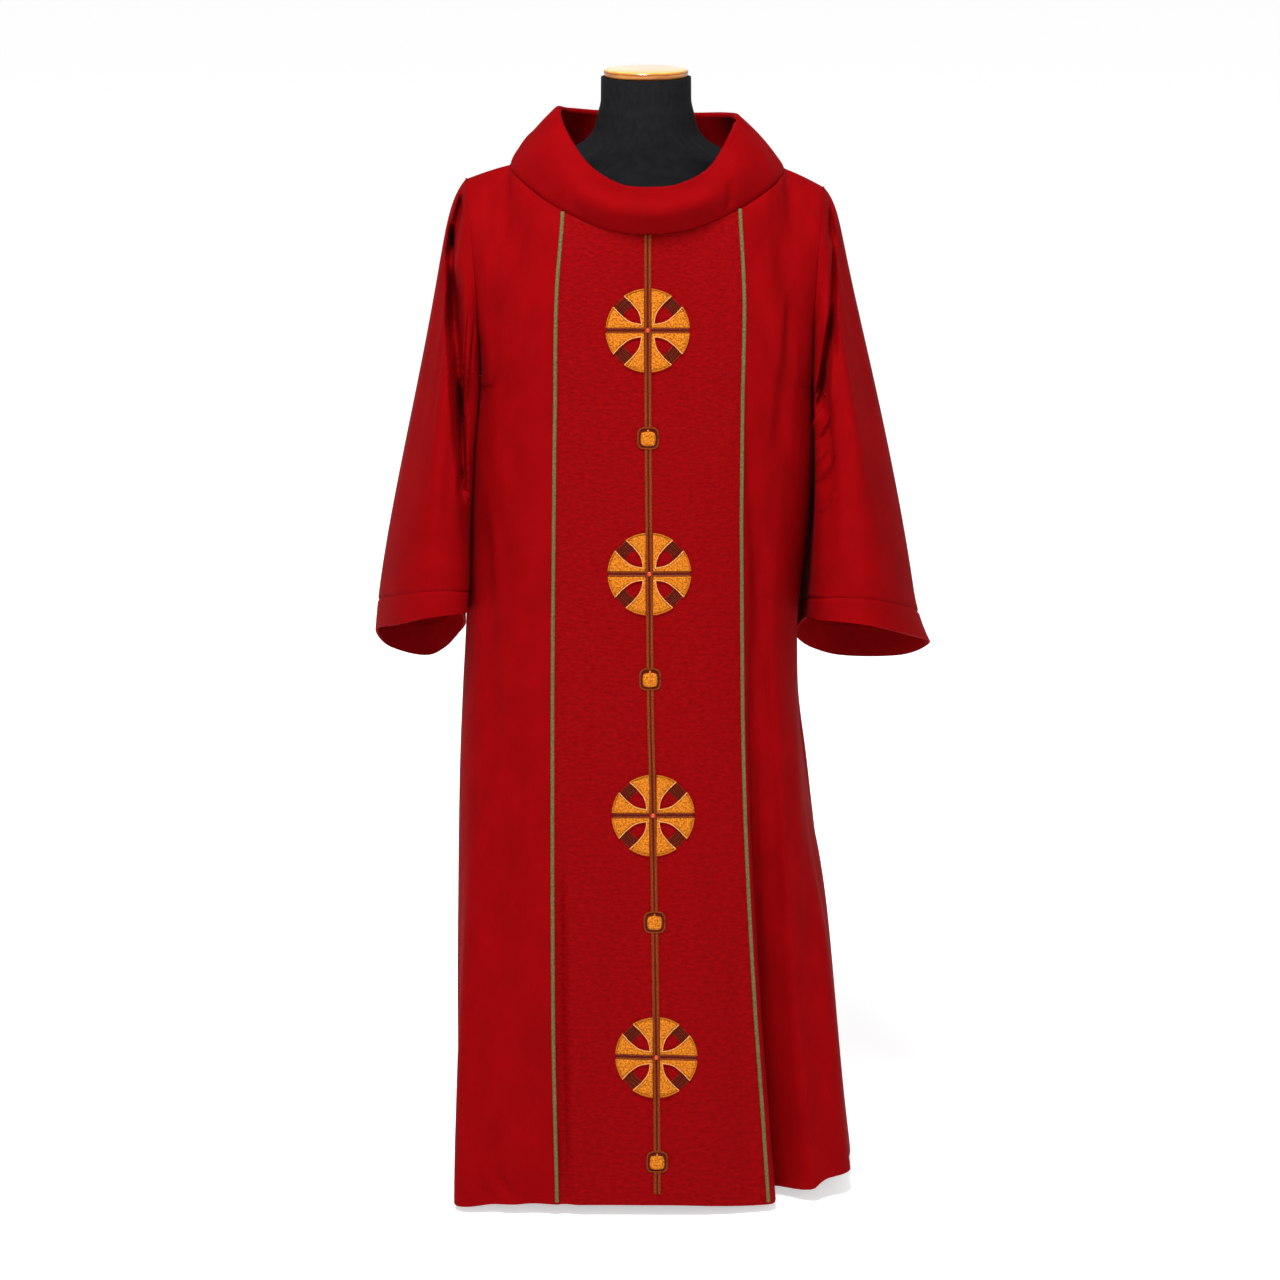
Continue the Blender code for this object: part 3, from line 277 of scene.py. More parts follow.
# %% Above the underarm
SHOULDER_TIP = {"left": (-0.2255, 0.006, 1.2885), "right": (0.2225, 0.006, 1.2785)}
UNDERARM = {"left": (-0.2090, 0.004, UNDERARM_Z), "right": (0.2100, 0.004, UNDERARM_Z)}
ARMHOLE_DEPTH, ARMHOLE_BOW = 0.168, 0.006
CORD_ANGLE = {"left": 37.5, "right": -41.0}
ON_NECK = {"front": 7 / 11, "back": 8 / 12}  # share of a top edge that follows the neckline
SIDE_FROM, EDGE_REACH = 0.60, 11  # where a panel begins to follow its armhole
BUST_POWER, BUST_INSET = 2.7, {True: 0.001, False: 0.004}  # in front, and behind
NECK = {
    "angle": (-180, -150, -120, -90, -65, -40, -18, 0, 18, 40, 65, 90, 120, 150),
    "seam_x": (2, 86, 149, 173, 158.5, 113, 55, 4, -50, -108, -154, -170, -147, -84),
    "seam_y": (115, 101, 59, 6, -57, -106, -133, -140, -134, -106, -56, 6, 59, 101),
    "seam_z": (
        1315, 1313, 1308, 1302.5, 1290.5, 1266.5, 1247, 1241, 1246.5, 1268, 1295, 1307, 1311,
        1314),
    "fold_x": (2, 61, 101, 114.5, 106.5, 80, 42, 4, -33, -72, -101, -111, -98, -58),
    "fold_y": (100, 86, 45, -11, -60, -96, -116, -121.5, -116.5, -96, -59, -11, 45, 86),
    "fold_z": (
        1364, 1365, 1370, 1372, 1356, 1318, 1298.5, 1294.5, 1298.5, 1321, 1359, 1382, 1376, 1368),
}


def neckline(angle, line="seam"):
    """Points round the neck: the seam of the collar, or the fold at its top."""
    return vector(*(around(angle, NECK["angle"], NECK[line + "_" + k]) / 1000 for k in "xyz"))


def arrival(angle):
    """How the cloth runs into the neckline."""
    c, s = np.cos(np.radians(angle)), np.abs(np.sin(np.radians(angle)))
    up = np.where((c >= 0)[..., None], np.array([0, 0.02, 0.21]), np.array([0, -0.05, 0.24]))
    over = vector(0, np.where(c >= 0, 0.17, -0.17), 0.03)
    w = ease((s - 0.25) / 0.75)[..., None]
    return up * (1 - w) + over * w


def armhole(side, v, front):
    """The armhole from the underarm (v 0) to the shoulder tip (v 1)."""
    d = (2 if front else -2) * ARMHOLE_DEPTH * FORWARD
    p = hermite(np.array(UNDERARM[side]), d, np.array(SHOULDER_TIP[side]), -d, v)
    p[..., 0] += ARMHOLE_BOW * (1 if side == "left" else -1) * np.sin(np.pi * np.asarray(v, float))
    return p


def armhole_run(side, front):
    """How the cloth passes the widest place of an armhole."""
    return (armhole(side, 0.51, front) - armhole(side, 0.49, front)) / 0.02


def top_edge(panel, u):
    """The upper edge of a panel, and how the cloth arrives there."""
    if panel == "front_centre":
        angle = CORD_ANGLE["left"] + (CORD_ANGLE["right"] - CORD_ANGLE["left"]) * u
        return neckline(angle), arrival(angle)
    left = (u > 0.5) if panel == "back" else np.full(u.shape, panel == "front_left")
    if panel == "back":
        w, share, sign = np.abs(u - 0.5) * 2, ON_NECK["back"], -1
        start = np.where(left, 180.0, -180.0)
    else:
        w, share, sign = (1 - u if panel == "front_left" else u), ON_NECK["front"], 1
        start = CORD_ANGLE[panel[6:]] + 0 * u
    end = np.where(left, 90.0, -90.0)
    angle = start + (end - start) * np.minimum(w / share, 1)
    v = np.clip((w - share) / (1 - share), 0, 1)[..., None]
    tip = np.where(left[..., None], SHOULDER_TIP["left"], SHOULDER_TIP["right"])
    p = neckline(angle) + (tip - neckline(end)) * v
    p[..., 2] += 0.0012 * np.sin(np.pi * v[..., 0])
    d = vector(0, sign, 0.16 * (1 - v[..., 0])) * (1 + 1.1 * v) * 0.17
    return p, np.where(w[..., None] <= share, arrival(angle), d)


def bust(panel, u):
    """The level line through the widest places of the two armholes."""
    front, n = panel != "back", BUST_POWER
    edge = {side: armhole(side, 0.5, front) for side in ("left", "right")}
    deep = body("front" if front else "back", edge["left"][2]) - BUST_INSET[front]
    wide = {s: abs(e[0]) / (1 - (abs(e[1]) / deep) ** n) ** (1 / n) for s, e in edge.items()}

    def turn_of(x):
        half = np.where(x < 0, wide["left"], wide["right"])
        return -np.sign(x) * np.arcsin(np.minimum(1, (np.abs(x) / half) ** (n / 2)))

    z = edge["left"][2] + (edge["right"][2] - edge["left"][2]) * (u if front else 1 - u)
    left, right = turn_of(edge["left"][0]), turn_of(edge["right"][0])
    x0, x1 = body("cord_l", z), body("cord_r", z)
    turn = {
        "front_left": lambda: left + (turn_of(x0) - left) * u,
        "front_right": lambda: turn_of(x1) + (right - turn_of(x1)) * u,
        "front_centre": lambda: turn_of(x0 + (x1 - x0) * u),
        "back": lambda: right + (left - right) * u,
    }[panel]()
    s, c = np.sin(turn), np.cos(turn)
    x = -squared(s, n) * np.where(s >= 0, wide["left"], wide["right"])
    y = (-1 if front else 1) * np.abs(c) ** (2 / n) * deep
    z_l, z_r = edge["left"][2], edge["right"][2]
    return vector(x, y, z_l + (z_r - z_l) * ease((x + 0.2) / 0.4))


def climb(low, leave, mid, past, top, arrive, v):
    """An upright line in two curves: from low, past mid (v 0.5), to top (v 1)."""
    a = hermite(low, leave / 2, mid, past / 2, np.minimum(2 * v, 1))
    b = hermite(mid, past / 2, top, arrive / 2, np.maximum(2 * v - 1, 0))
    return np.where((v <= 0.5)[..., None], a, b)


def chest(panel, u, v):
    """Points of a panel above the underarm: u across it, v from 0 there to 1 at the top edge."""
    front, level = panel != "back", UNDERARM_Z + 0 * u
    low, mid = skirt(panel, u, level), bust(panel, u)
    top, arrive = top_edge(panel, u)
    turn = panel_turn(panel, u, level)
    at_side = (np.abs(np.sin(np.radians(turn))) - SIDE_FROM) / (1 - SIDE_FROM)
    w = (ease(at_side) ** 2)[..., None]
    t = level_run(level, turn, 1)
    t = np.where(((t[..., 1] < 0) == front)[..., None], t, -t)
    leave = 1.9 * (mid - low) * np.array([0, 0, 1.0]) * (1 - w) + t * (2 * ARMHOLE_DEPTH) * w
    left = (low[..., 0] < 0)[..., None]
    run = np.where(left, armhole_run("left", front), armhole_run("right", front))
    p = climb(low, leave, mid, (top - low) * (1 - w) + run * w, top, arrive, v)
    for at, side in ((0.0, "left" if front else "right"), (1.0, "right" if front else "left")):
        if panel not in ("front_centre", "front_" + ("right" if at == 0 else "left")):
            miss = armhole(side, v, front) - chest_line(panel, np.full_like(u, at), v)
            p = p + miss * (np.clip(1 - np.abs(u - at) * EDGE_REACH, 0, 1) ** 2)[..., None]
    return p


def chest_line(panel, e, v):
    """The upright line at a panel's very edge, before the armhole corrects it."""
    front = panel != "back"
    low, mid = skirt(panel, e, UNDERARM_Z + 0 * e), bust(panel, e)
    top, arrive = top_edge(panel, e)
    side = "left" if low.reshape(-1, 3)[0, 0] < 0 else "right"
    leave = (2 if front else -2) * ARMHOLE_DEPTH * FORWARD
    return climb(low, leave, mid, armhole_run(side, front), top, arrive, v)


print("left shoulder tip", np.round(armhole("left", 1.0, True), 4))

# %% [markdown]
# ## Fine grids of points
# A panel is drawn as a grid of points, close enough together that no facet shows: four to seven
# millimetres each way. The three front panels are worked out side by side and joined into one
# wide grid, so that creases can run from one panel into the next, as they do in sewn cloth.

# %% Grids of the panels
COLS = {"front_left": 44, "front_centre": 40, "front_right": 44, "back": 96}
SKIRT_ROWS, CHEST_ROWS = 150, 60
LEFT_SEAM = COLS["front_left"]
RIGHT_SEAM = LEFT_SEAM + COLS["front_centre"]
BACK_SEAMS = (32, 64)


def panel_grid(panel):
    """Points of a whole panel: rows go up from the hem, columns across."""
    u = np.linspace(0, 1, COLS[panel] + 1)
    low = around(panel_turn(panel, u, 0.02 + 0 * u), HEM_TURN, HEM_Z) / 1000
    z = low + (UNDERARM_Z - low) * (np.arange(SKIRT_ROWS) / SKIRT_ROWS)[:, None]
    across, up = np.broadcast_arrays(u, np.linspace(0, 1, CHEST_ROWS + 1)[:, None])
    return np.concatenate((skirt(panel, u + 0 * z, z), chest(panel, across, up)))


def facing(grid, closed=False):
    """Unit normals of a grid of points; the last column of a closed one repeats its first."""
    if not closed:
        return unit(np.cross(np.gradient(grid, axis=1), np.gradient(grid, axis=0)))
    ring = grid[:, :-1]
    across = np.roll(ring, -1, axis=1) - np.roll(ring, 1, axis=1)
    n = unit(np.cross(across, np.gradient(ring, axis=0)))
    return np.concatenate((n, n[:, :1]), axis=1)


parts = [panel_grid(name) for name in ("front_left", "front_centre", "front_right")]
front = np.concatenate((parts[0], parts[1][:, 1:], parts[2][:, 1:]), axis=1)
back = panel_grid("back")
print("front", front.shape, "back", back.shape)

# %% [markdown]
# ## Creases, placed one by one
# Between its large folds real cloth has small ones: drag lines below the collar, a pleat beside a
# corded seam, a crumple where the hem touched something. A simulation would put them anywhere, so
# they are listed one by one, as lines from one place to another with a width and a depth. No two
# are alike, and the back has its own.


# %% Pressing creases in
FADE, LONGER, TIP = 0.30, 0.10, 0.6  # how softly a crease ends, by how much, and how narrow


def press(points, normals, s, t, creases):
    """Presses lines into a grid: from s, t to s, t, then width and depth (+ is inwards)."""
    depth = np.zeros(points.shape[:-1])
    for s0, t0, s1, t1, width, deep in np.array(creases) / 1000:
        ds, dt = s1 - s0, t1 - t0
        long = math.hypot(ds, dt)
        along = ((s - s0) * ds + (t - t0) * dt) / long**2
        off = ((s - s0) * dt - (t - t0) * ds) / long
        wide = width * (TIP + (1 - TIP) * np.clip(along, 0, 1))
        fade = ease((along + LONGER) / FADE) * ease((1 + LONGER - along) / FADE)
        depth += deep * fade * bump(off / wide)
    return points - normals * depth[..., None]


# From across and up, to across and up, width, depth.
FRONT_CREASES = (
    (121, 1040, 156, 620, 18, 5.2), (153, 720, 167, 350, 18, 5.6), (165, 420, 178, 60, 26, 2.6),
    (-106.5, 470, -104.5, 0, 11.5, 6.6), (-92, 430, -88, 30, 12, -1.6),
    (-196, 58, -166, 20, 12, 4.5), (-178, 52, -148, 26, 10, -3.2), (-208, 46, -190, 14, 9, 3),
    (-30, 420, -48, 20, 52, 4.5), (52, 520, 78, 10, 46, -4.5), (112, 360, 134, 10, 30, 4),
    (-188, 980, -140, 780, 30, -3), (-204, 900, -186, 560, 24, 5), (-160, 640, -176, 180, 34, 5),
    (-132, 1225, -176, 1060, 30, -3), (-150, 1240, -196, 1120, 18, 2.6),
    (140, 1215, 176, 1050, 28, -3), (158, 1235, 192, 1110, 18, 2.8),
    (180, 1160, 164, 960, 18, 4.5), (-60, 1205, -85, 1080, 22, 1.6),
    (70, 1200, 94, 1060, 24, -1.8), (-205, 1105, -207, 1045, 14, 1.8),
    (200, 760, 212, 300, 20, 4), (224, 500, 240, 80, 22, -4.5),
)
BACK_CREASES = (
    (60, 1270, 140, 1060, 30, 3), (-50, 1280, -120, 1090, 26, -2.8), (0, 1290, 12, 1120, 30, 2.2),
    (-150, 1180, -186, 980, 22, 4.5), (165, 1190, 192, 960, 26, 4.2), (-20, 980, 10, 500, 40, 4),
    (120, 900, 150, 300, 30, 5), (-100, 860, -128, 240, 32, -4.5), (60, 640, 74, 40, 26, -5),
    (-58, 520, -66, 20, 22, 4.5), (-190, 620, -206, 100, 26, 5), (150, 75, 118, 24, 14, 4),
)


COLLAR_END, EASE_REACH, EASE_ROUNDS = 16, 9, 16  # two counts of columns, one of rounds
SEAM_GROOVE, NECK_GROOVE, NECK_HALF = 0.0010, 0.0016, 0.170


def soften(grid):
    """Eases the turns below the places where the collar ends and a shoulder seam begins."""
    row, col = np.ogrid[:grid.shape[0], :grid.shape[1]]
    upper, lower = SKIRT_ROWS + CHEST_ROWS - row, row - SKIRT_ROWS - 12
    for end in (COLLAR_END, grid.shape[1] - 1 - COLLAR_END):
        weight = ease(upper / 7) * ease(lower / 14) * bump((col - end) / EASE_REACH)
        for _ in range(EASE_ROUNDS):
            middle = (np.roll(grid, 1, axis=1) + np.roll(grid, -1, axis=1)) / 2
            grid = grid + weight[..., None] * (middle - grid) * 0.6
    return grid


def creased(flat, creases):
    """Presses creases into a grid, but leaves its armhole edges where the sleeves join."""
    grid = press(flat, facing(flat), flat[..., 0], flat[..., 2], creases)
    grid[SKIRT_ROWS:, [0, -1]] = flat[SKIRT_ROWS:, [0, -1]]
    return grid


front_flat = soften(front)
front, back = creased(front_flat, FRONT_CREASES), creased(soften(back), BACK_CREASES)
back[:, -1], back[:, 0] = front[:, 0], front[:, -1]
for col in BACK_SEAMS:
    back[:, col] -= SEAM_GROOVE * facing(back)[:, col]
neck_seam = ease((NECK_HALF - np.abs(front[-1, :, 0])) / 0.010)[:, None]
front[-1] -= NECK_GROOVE * neck_seam * facing(front)[-1]
front_n, back_n = facing(front), facing(back)
for f, b in ((0, -1), (-1, 0)):
    both = unit(front_n[:SKIRT_ROWS, f] + back_n[:SKIRT_ROWS, b])
    front_n[:SKIRT_ROWS, f], back_n[:SKIRT_ROWS, b] = both, both
print("deepest crease", round(float(np.abs(front - front_flat).max()) * 1000, 1), "mm")

# %% [markdown]
# ## Sleeves
# Each sleeve is a wide tube, set into the armhole and hanging free. Its long lines leave the
# armhole outwards and then fall, and a second table says where they end round the cuff. The inner
# side is crushed a little by the body, so its creases are short and lie across. Beside the armhole
# the empty sleeve sinks into a deep tuck. It is pushed straight back, as the weight of the cloth
# would do, so that the width of the garment stays.

# %% Sleeve surfaces
CUFFS = ("angle", "x", "y", "z", "out", "fore", "down", "end_out", "end_fore", "end_down",
         "puff", "flare")
SLEEVES = {
    "left": (
        (0, -344, -10, 716, 65, 0, 350, 30, 0, 450, 14, 0),
        (45, -315, -112, 744, 70, 30, 330, 20, 20, 450, 10, 0),
        (90, -268, -156, 763, 30, 80, 300, 5, 30, 400, 4, 0),
        (135, -225, -129, 763, -16, 90, 200, 0, 40, 330, 0, 0),
        (180, -231, -35, 744, 100, 20, 140, -3, 20, 300, 0, 0),
        (225, -233.5, 53, 702, 70, -55, 240, -4, 0, 380, 0, 0),
        (270, -276, 77, 664, 70, -50, 400, 15, 0, 480, 6, 0),
        (315, -328, 47, 680, 75, -20, 360, 30, 0, 480, 11, 0),
    ),
    "right": (
        (0, 348, -25, 703, 150, 0, 480, 46, 0, 450, 7.3, 13),
        (45, 319, -112, 733, 90, 30, 380, 30, 20, 450, 6, 7),
        (90, 270, -152, 753, 30, 80, 300, 5, 30, 400, 3, 3),
        (135, 217.5, -123, 753, 0, 90, 200, 0, 40, 330, 0, 0),
        (180, 201, 0, 728, 60, 0, 160, -16, 0, 300, 0, 0),
        (225, 193, 62, 688, 40, -60, 240, -20, 0, 380, 0, 0),
        (270, 242, 86, 662, 65, -55, 400, 10, 0, 480, 4, 3),
        (315, 320, 40, 672, 100, -20, 420, 40, 0, 480, 6, 8),
    ),
}
PUFF_REACH = {"left": 0.16, "right": 0.07}
# Side, angles at the armhole and cuff, width (degrees), depth, begin, peak, end (shares).
SLEEVE_FOLDS = (
    ("left", 112, 140, 26, 11, 0.05, 0.32, 0.85),
    ("left", 70, 84, 24, -6, 0.05, 0.35, 0.90),
    ("left", 250, 236, 30, 11, 0.06, 0.40, 1.00),
    ("right", 104, 132, 26, 12, 0.05, 0.30, 0.90),
    ("right", 66, 78, 26, -6, 0.05, 0.35, 0.95),
    ("right", 246, 232, 30, 11, 0.06, 0.42, 1.00),
)
# From round and up, to round and up, width, depth; the tucks: from across and up, as above.
SLEEVE_CREASES = {
    "left": (
        (172, 360, 172, 10, 34, -3.6), (98, 520, 118, 340, 12, 4), (112, 560, 122, 470, 8, 3),
        (118, 270, 150, 245, 10, 3.6), (128, 240, 156, 226, 8, -2.6), (70, 430, 94, 180, 20, -3),
        (30, 500, 50, 120, 30, 3), (280, 520, 300, 260, 20, 4), (330, 460, 350, 160, 24, -3.4),
        (210, 400, 250, 370, 12, 4),
    ),
    "right": (
        (110, 480, 148, 462, 12, 5), (114, 425, 150, 398, 12, -4.4),
        (110, 380, 146, 362, 12, 5.6), (114, 335, 148, 322, 11, -4), (116, 300, 150, 274, 13, 5),
        (118, 235, 146, 222, 11, -3.8), (66, 470, 88, 200, 20, -3), (24, 540, 40, 260, 24, 2.6),
        (290, 500, 312, 220, 22, 4), (215, 360, 252, 330, 12, 3.8), (340, 430, 352, 120, 20, -3),
    ),
}
SLEEVE_TUCKS = {
    "left": (
        (-226.5, 1284, -244.5, 1190, 11.5, 36), (-244, 1245, -240.5, 1090, 10.5, 36),
        (-230, 960, -238.5, 1180, 16, 44), (-232, 1040, -227.5, 910, 8, 32),
    ),
    "right": (
        (227.5, 1285, 230.5, 1215, 8.5, 26), (234, 1225, 231, 1085, 9, 22),
        (230, 1135, 216.5, 1010, 10, 28),
    ),
}
SLEEVE_ROWS, SLEEVE_COLS = 150, 3 * CHEST_ROWS
SLEEVE_LONG, SLEEVE_ROUND, SLEEVE_RADIUS = 0.585, 0.42, 0.062
TUCK_RISE, TUCK_END, TUCK_FALL = 0.030, 0.178, 0.020  # metres round the sleeve


def sleeve_grid(side):
    """Points round the sleeve, from the cuff up to the armhole, and their flat places."""
    out = -1.0 if side == "left" else 1.0
    i = np.arange(SLEEVE_COLS + 1)[None, :]
    t = (1 - np.arange(SLEEVE_ROWS + 1) / SLEEVE_ROWS)[:, None] + 0 * i
    a = (180 - out * 360.0 * i / SLEEVE_COLS + 0 * t) % 360.0
    cuff = {n: [row[k] for row in SLEEVES[side]] for k, n in enumerate(CUFFS)}

    def value(name):
        return around(a, cuff["angle"], cuff[name]) / 1000

    v = np.where(a <= 180, 1 - a / 180, (a - 180) / 180)
    start = np.where((a <= 180)[..., None], armhole(side, v, True), armhole(side, v, False))
    leave = vector(out * value("out"), -value("fore"), -value("down"))
    come = vector(out * value("end_out"), -value("end_fore"), -value("end_down"))
    p = hermite(start, leave, vector(value("x"), value("y"), value("z")), come, t)
    reach = t / PUFF_REACH[side]
    p[..., 0] += out * value("puff") * reach * np.exp(1 - reach) * (1 - t)
    p[..., 0] += out * value("flare") * np.maximum(0, (t - 0.86) / 0.14) ** 2
    depth = 0 * t
    for name, top, low, width, deep, begin, peak, end in SLEEVE_FOLDS:
        if name == side:
            rise = ease((t - begin) / (peak - begin))
            fall = 0.35 + 0.65 * ease((end - t) / (end - peak))
            fall = fall * (1.0 if end >= 1 else ease((end - t) / 0.15))
            at = top + (low - top) * t
            inside = (t > begin) & (t < end + 1e-9)
            press_in = inside * np.where(t < peak, rise, fall) * bump((a - at) / width)
            depth += deep / 1000 * press_in
    p = p - facing(p, closed=True) * depth[..., None]
    s, up = np.radians(a) * SLEEVE_RADIUS, (1 - t) * SLEEVE_LONG
    pressed = press(p, facing(p, closed=True), s, up, SLEEVE_CREASES[side])
    p = p + (pressed - p) * ease(t / 0.10)[..., None]
    pushed = press(p, FORWARD, p[..., 0], p[..., 2], SLEEVE_TUCKS[side])
    shown = ease(s / TUCK_RISE) * ease((TUCK_END - s) / TUCK_FALL) * ease(t / 0.05)
    p = p + (pushed - p) * shown[..., None]
    p[..., 0] += out * 0.0003
    return p, np.stack((out * i / SLEEVE_COLS * SLEEVE_ROUND + 0 * t, up), axis=-1)


sleeves = {side: sleeve_grid(side) for side in ("left", "right")}
print("left cuff is", round(float(np.ptp(sleeves["left"][0][0, :, 1])), 3), "m deep")

# %% [markdown]
# ## From points to cloth
# Cloth has two faces and an edge, and a single sheet of faces has neither thickness nor an inside.
# A grid is made with Blender's own grid operator, its points are moved to their places, and the
# whole sheet is extruded once to give the inner face. Near a hem the cloth is turned up, so the
# wall is thicker there. The flat place of every point goes into the UV map in metres, so that a
# weave keeps its size and follows the threads.

# %% Making a shell
CLOTH_THICK, HEM_THICK, HEM_DEEP = 0.0020, 0.0012, 0.047


def spots(verts, rows, cols):
    """The row and column of each point of a grid that is still flat."""
    return {v: (round((v.co.y + 1) / 2 * rows), round((v.co.x + 1) / 2 * cols)) for v in verts}


def dress(bm, spot, uv, material):
    """Makes the faces round some points smooth, and gives them a finish and flat places."""
    faces = {f for v in spot for f in v.link_faces}
    layer = bm.loops.layers.uv.verify()
    for f in faces:
        f.smooth, f.material_index = True, material
        for corner in f.loops:
            corner[layer].uv = uv[spot[corner.vert]]
    return list(faces)


def lay_shell(bm, outer, inner, uv, closed=False, material=0):
    """Adds a closed wall between two grids of points to a bmesh."""
    rows, cols = outer.shape[0] - 1, outer.shape[1] - 1
    made = bmesh.ops.create_grid(bm, x_segments=cols, y_segments=rows, size=1.0)["verts"]
    faces = list({f for v in made for f in v.link_faces})
    grown = bmesh.ops.extrude_face_region(bm, geom=faces, use_keep_orig=True)["geom"]
    new = [g for g in grown if isinstance(g, bmesh.types.BMVert)]
    spot = spots(made + new, rows, cols)
    faces = dress(bm, spot, uv, material)
    for verts, grid in ((made, outer), (new, inner)):
        for v in verts:
            v.co = grid[spot[v]]
    if closed:
        seam = {v for v, place in spot.items() if place[1] in (0, cols)}
        walls = [f for f in faces if all(v in seam for v in f.verts)]
        bmesh.ops.delete(bm, geom=walls, context="FACES_ONLY")
        bmesh.ops.remove_doubles(bm, verts=list(seam), dist=1e-5)
        faces = [f for f in faces if f.is_valid]
    bmesh.ops.recalc_face_normals(bm, faces=faces)


def keep(bm, name, materials, nodes, crease=40):
    """Turns a bmesh into a finished object that rides on the root and stands for CAD nodes."""
    name = name.replace(" ", "_")
    mesh = bpy.data.meshes.new(name)
    bm.to_mesh(mesh)
    bm.free()
    for m in materials:
        mesh.materials.append(m)
    mesh.set_sharp_from_angle(angle=math.radians(crease))
    obj = add(name, mesh)
    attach(obj, "root")
    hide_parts(*nodes)
    print(name, len(mesh.polygons), "faces")


def flat_places(grid, width):
    """Flat places of a panel: metres across, and metres up from the hem."""
    up = lengths(grid)
    across = np.linspace(-0.5, 0.5, grid.shape[1])[None, :] * width + 0 * up
    return np.stack((across, up), axis=-1)


def cloth(name, grid, normals, uv, material, nodes, closed=False):
    """A panel of lined cloth with its turned-up hem."""
    thick = CLOTH_THICK + HEM_THICK * ease((HEM_DEEP - uv[..., 1]) / 0.003)
    bm = bmesh.new()
    lay_shell(bm, grid, grid - normals * thick[..., None], uv, closed)
    keep(bm, name, [material], nodes)


print("ready to sew")

# %% [markdown]
# ## Cloth, thread, wood and steel
# The side panels are a matt worsted twill dyed the red of martyrs' feasts, and the centre panel
# is a crepe: its tightly twisted yarn shrinks in the finish and puckers the cloth into small
# waves. Colour alone would look painted on, so the cloth, the gold and bronze thread, the jersey
# and the powder coat also have a relief that catches light.


# %% Finishes
def node(m, kind, **values):
    """Adds a shader node with constant values on its sockets."""
    made = m.node_tree.nodes.new("ShaderNode" + kind)
    for name, value in values.items():
        made.inputs[name.replace("_", " ")].default_value = value
    return made


def texture(m, kind, **values):
    """Adds a texture node that reads the finish's own coordinates."""
    made = node(m, kind, **values)
    m.node_tree.links.new(m.node_tree.nodes["Mapping"].outputs["Vector"], made.inputs["Vector"])
    return made


def tune(m, **values):
    """Sets constant values on the shader of a material."""
    for name, value in values.items():
        m.node_tree.nodes["Principled BSDF"].inputs[name.replace("_", " ")].default_value = value


def finish_of(name, colour, rough, metal=0.0):
    """A material with constant values on its shader."""
    m = bpy.data.materials.new(name)
    m.use_nodes = True
    tune(m, Base_Color=(*colour, 1.0), Roughness=rough, Metallic=metal)
    return m


def mottled(m, size, dark, light, detail=2.0, low=0.3, high=0.7, source="UV", scale=(1, 1, 1)):
    """Lets the colour wander between two shades in patches of a size in metres."""
    links = m.node_tree.links
    where = node(m, "TexCoord").outputs[source]
    links.new(where, node(m, "Mapping", Scale=scale).inputs["Vector"])
    noise = texture(m, "TexNoise", Scale=1.0 / size, Detail=detail)
    ramp = node(m, "ValToRGB")
    for stop, place, shade in zip(ramp.color_ramp.elements, (low, high), (dark, light)):
        stop.position, stop.color = place, (*shade, 1.0)
    links.new(noise.outputs["Fac"], ramp.inputs["Fac"])
    links.new(ramp.outputs["Color"], m.node_tree.nodes["Principled BSDF"].inputs["Base Color"])
    return m


def relief(m, height, depth, strength):
    """Raises the surface by a texture, with its depth in metres; reliefs add up."""
    links, target = m.node_tree.links, m.node_tree.nodes["Principled BSDF"].inputs["Normal"]
    raised = node(m, "Bump", Distance=depth, Strength=strength)
    if target.is_linked:
        links.new(target.links[0].from_socket, raised.inputs["Normal"])
    links.new(height.outputs["Fac"], raised.inputs["Height"])
    links.new(raised.outputs["Normal"], target)


def lumps(m, size, detail=2.0, rough=0.5):
    """Uneven lumps of a size in metres."""
    return texture(m, "TexNoise", Scale=1.0 / size, Detail=detail, Roughness=rough)


def ribs(m, gap, direction="X", bend=0.0):
    """Even ribs with a gap in metres."""
    wave = texture(m, "TexWave", Scale=math.pi / 10 / gap, Distortion=bend)
    wave.bands_direction = direction
    return wave


RED_DARK, RED_LIGHT = (0.132, 0.0004, 0.0010), (0.158, 0.0005, 0.0013)
twill = mottled(finish_of("red twill", RED_LIGHT, 0.78), 0.060, RED_DARK, RED_LIGHT)
relief(twill, ribs(twill, 0.0013, "DIAGONAL"), 0.00012, 0.5)
relief(twill, lumps(twill, 0.05), 0.0015, 0.25)
crepe = mottled(finish_of("red crepe", RED_LIGHT, 0.62), 0.0040, (0.116, 0.0004, 0.0009),
                (0.164, 0.0006, 0.0014), 3.0, scale=(0.50, 1.0, 1))
relief(crepe, lumps(crepe, 0.0038, 2.5, 0.6), 0.0022, 0.90)
for m in (twill, crepe):
    tune(m, Sheen_Weight=0.03, Sheen_Roughness=0.5, Sheen_Tint=(1.0, 0.02, 0.04, 1.0),
         Specular_IOR_Level=0.015)
olive = mottled(finish_of("olive cord", (0.100, 0.080, 0.026), 0.70), 0.0030,
                (0.050, 0.040, 0.012), (0.115, 0.092, 0.034))
gold = mottled(finish_of("gold thread", (0.350, 0.095, 0.003), 0.50), 0.0022,
               (0.190, 0.040, 0.001), (0.520, 0.165, 0.008), 3.0, 0.36, 0.66)
relief(gold, lumps(gold, 0.0013), 0.0009, 0.9)
pale = mottled(finish_of("pale gold cord", (0.560, 0.200, 0.030), 0.45), 0.0028,
               (0.250, 0.065, 0.004), (0.680, 0.310, 0.090))
bronze = mottled(finish_of("bronze thread", (0.150, 0.030, 0.002), 0.50), 0.0018,
                 (0.070, 0.0080, 0.0008), (0.195, 0.036, 0.0030))
relief(bronze, ribs(bronze, 0.0009, "Y", 1.0), 0.0004, 0.6)
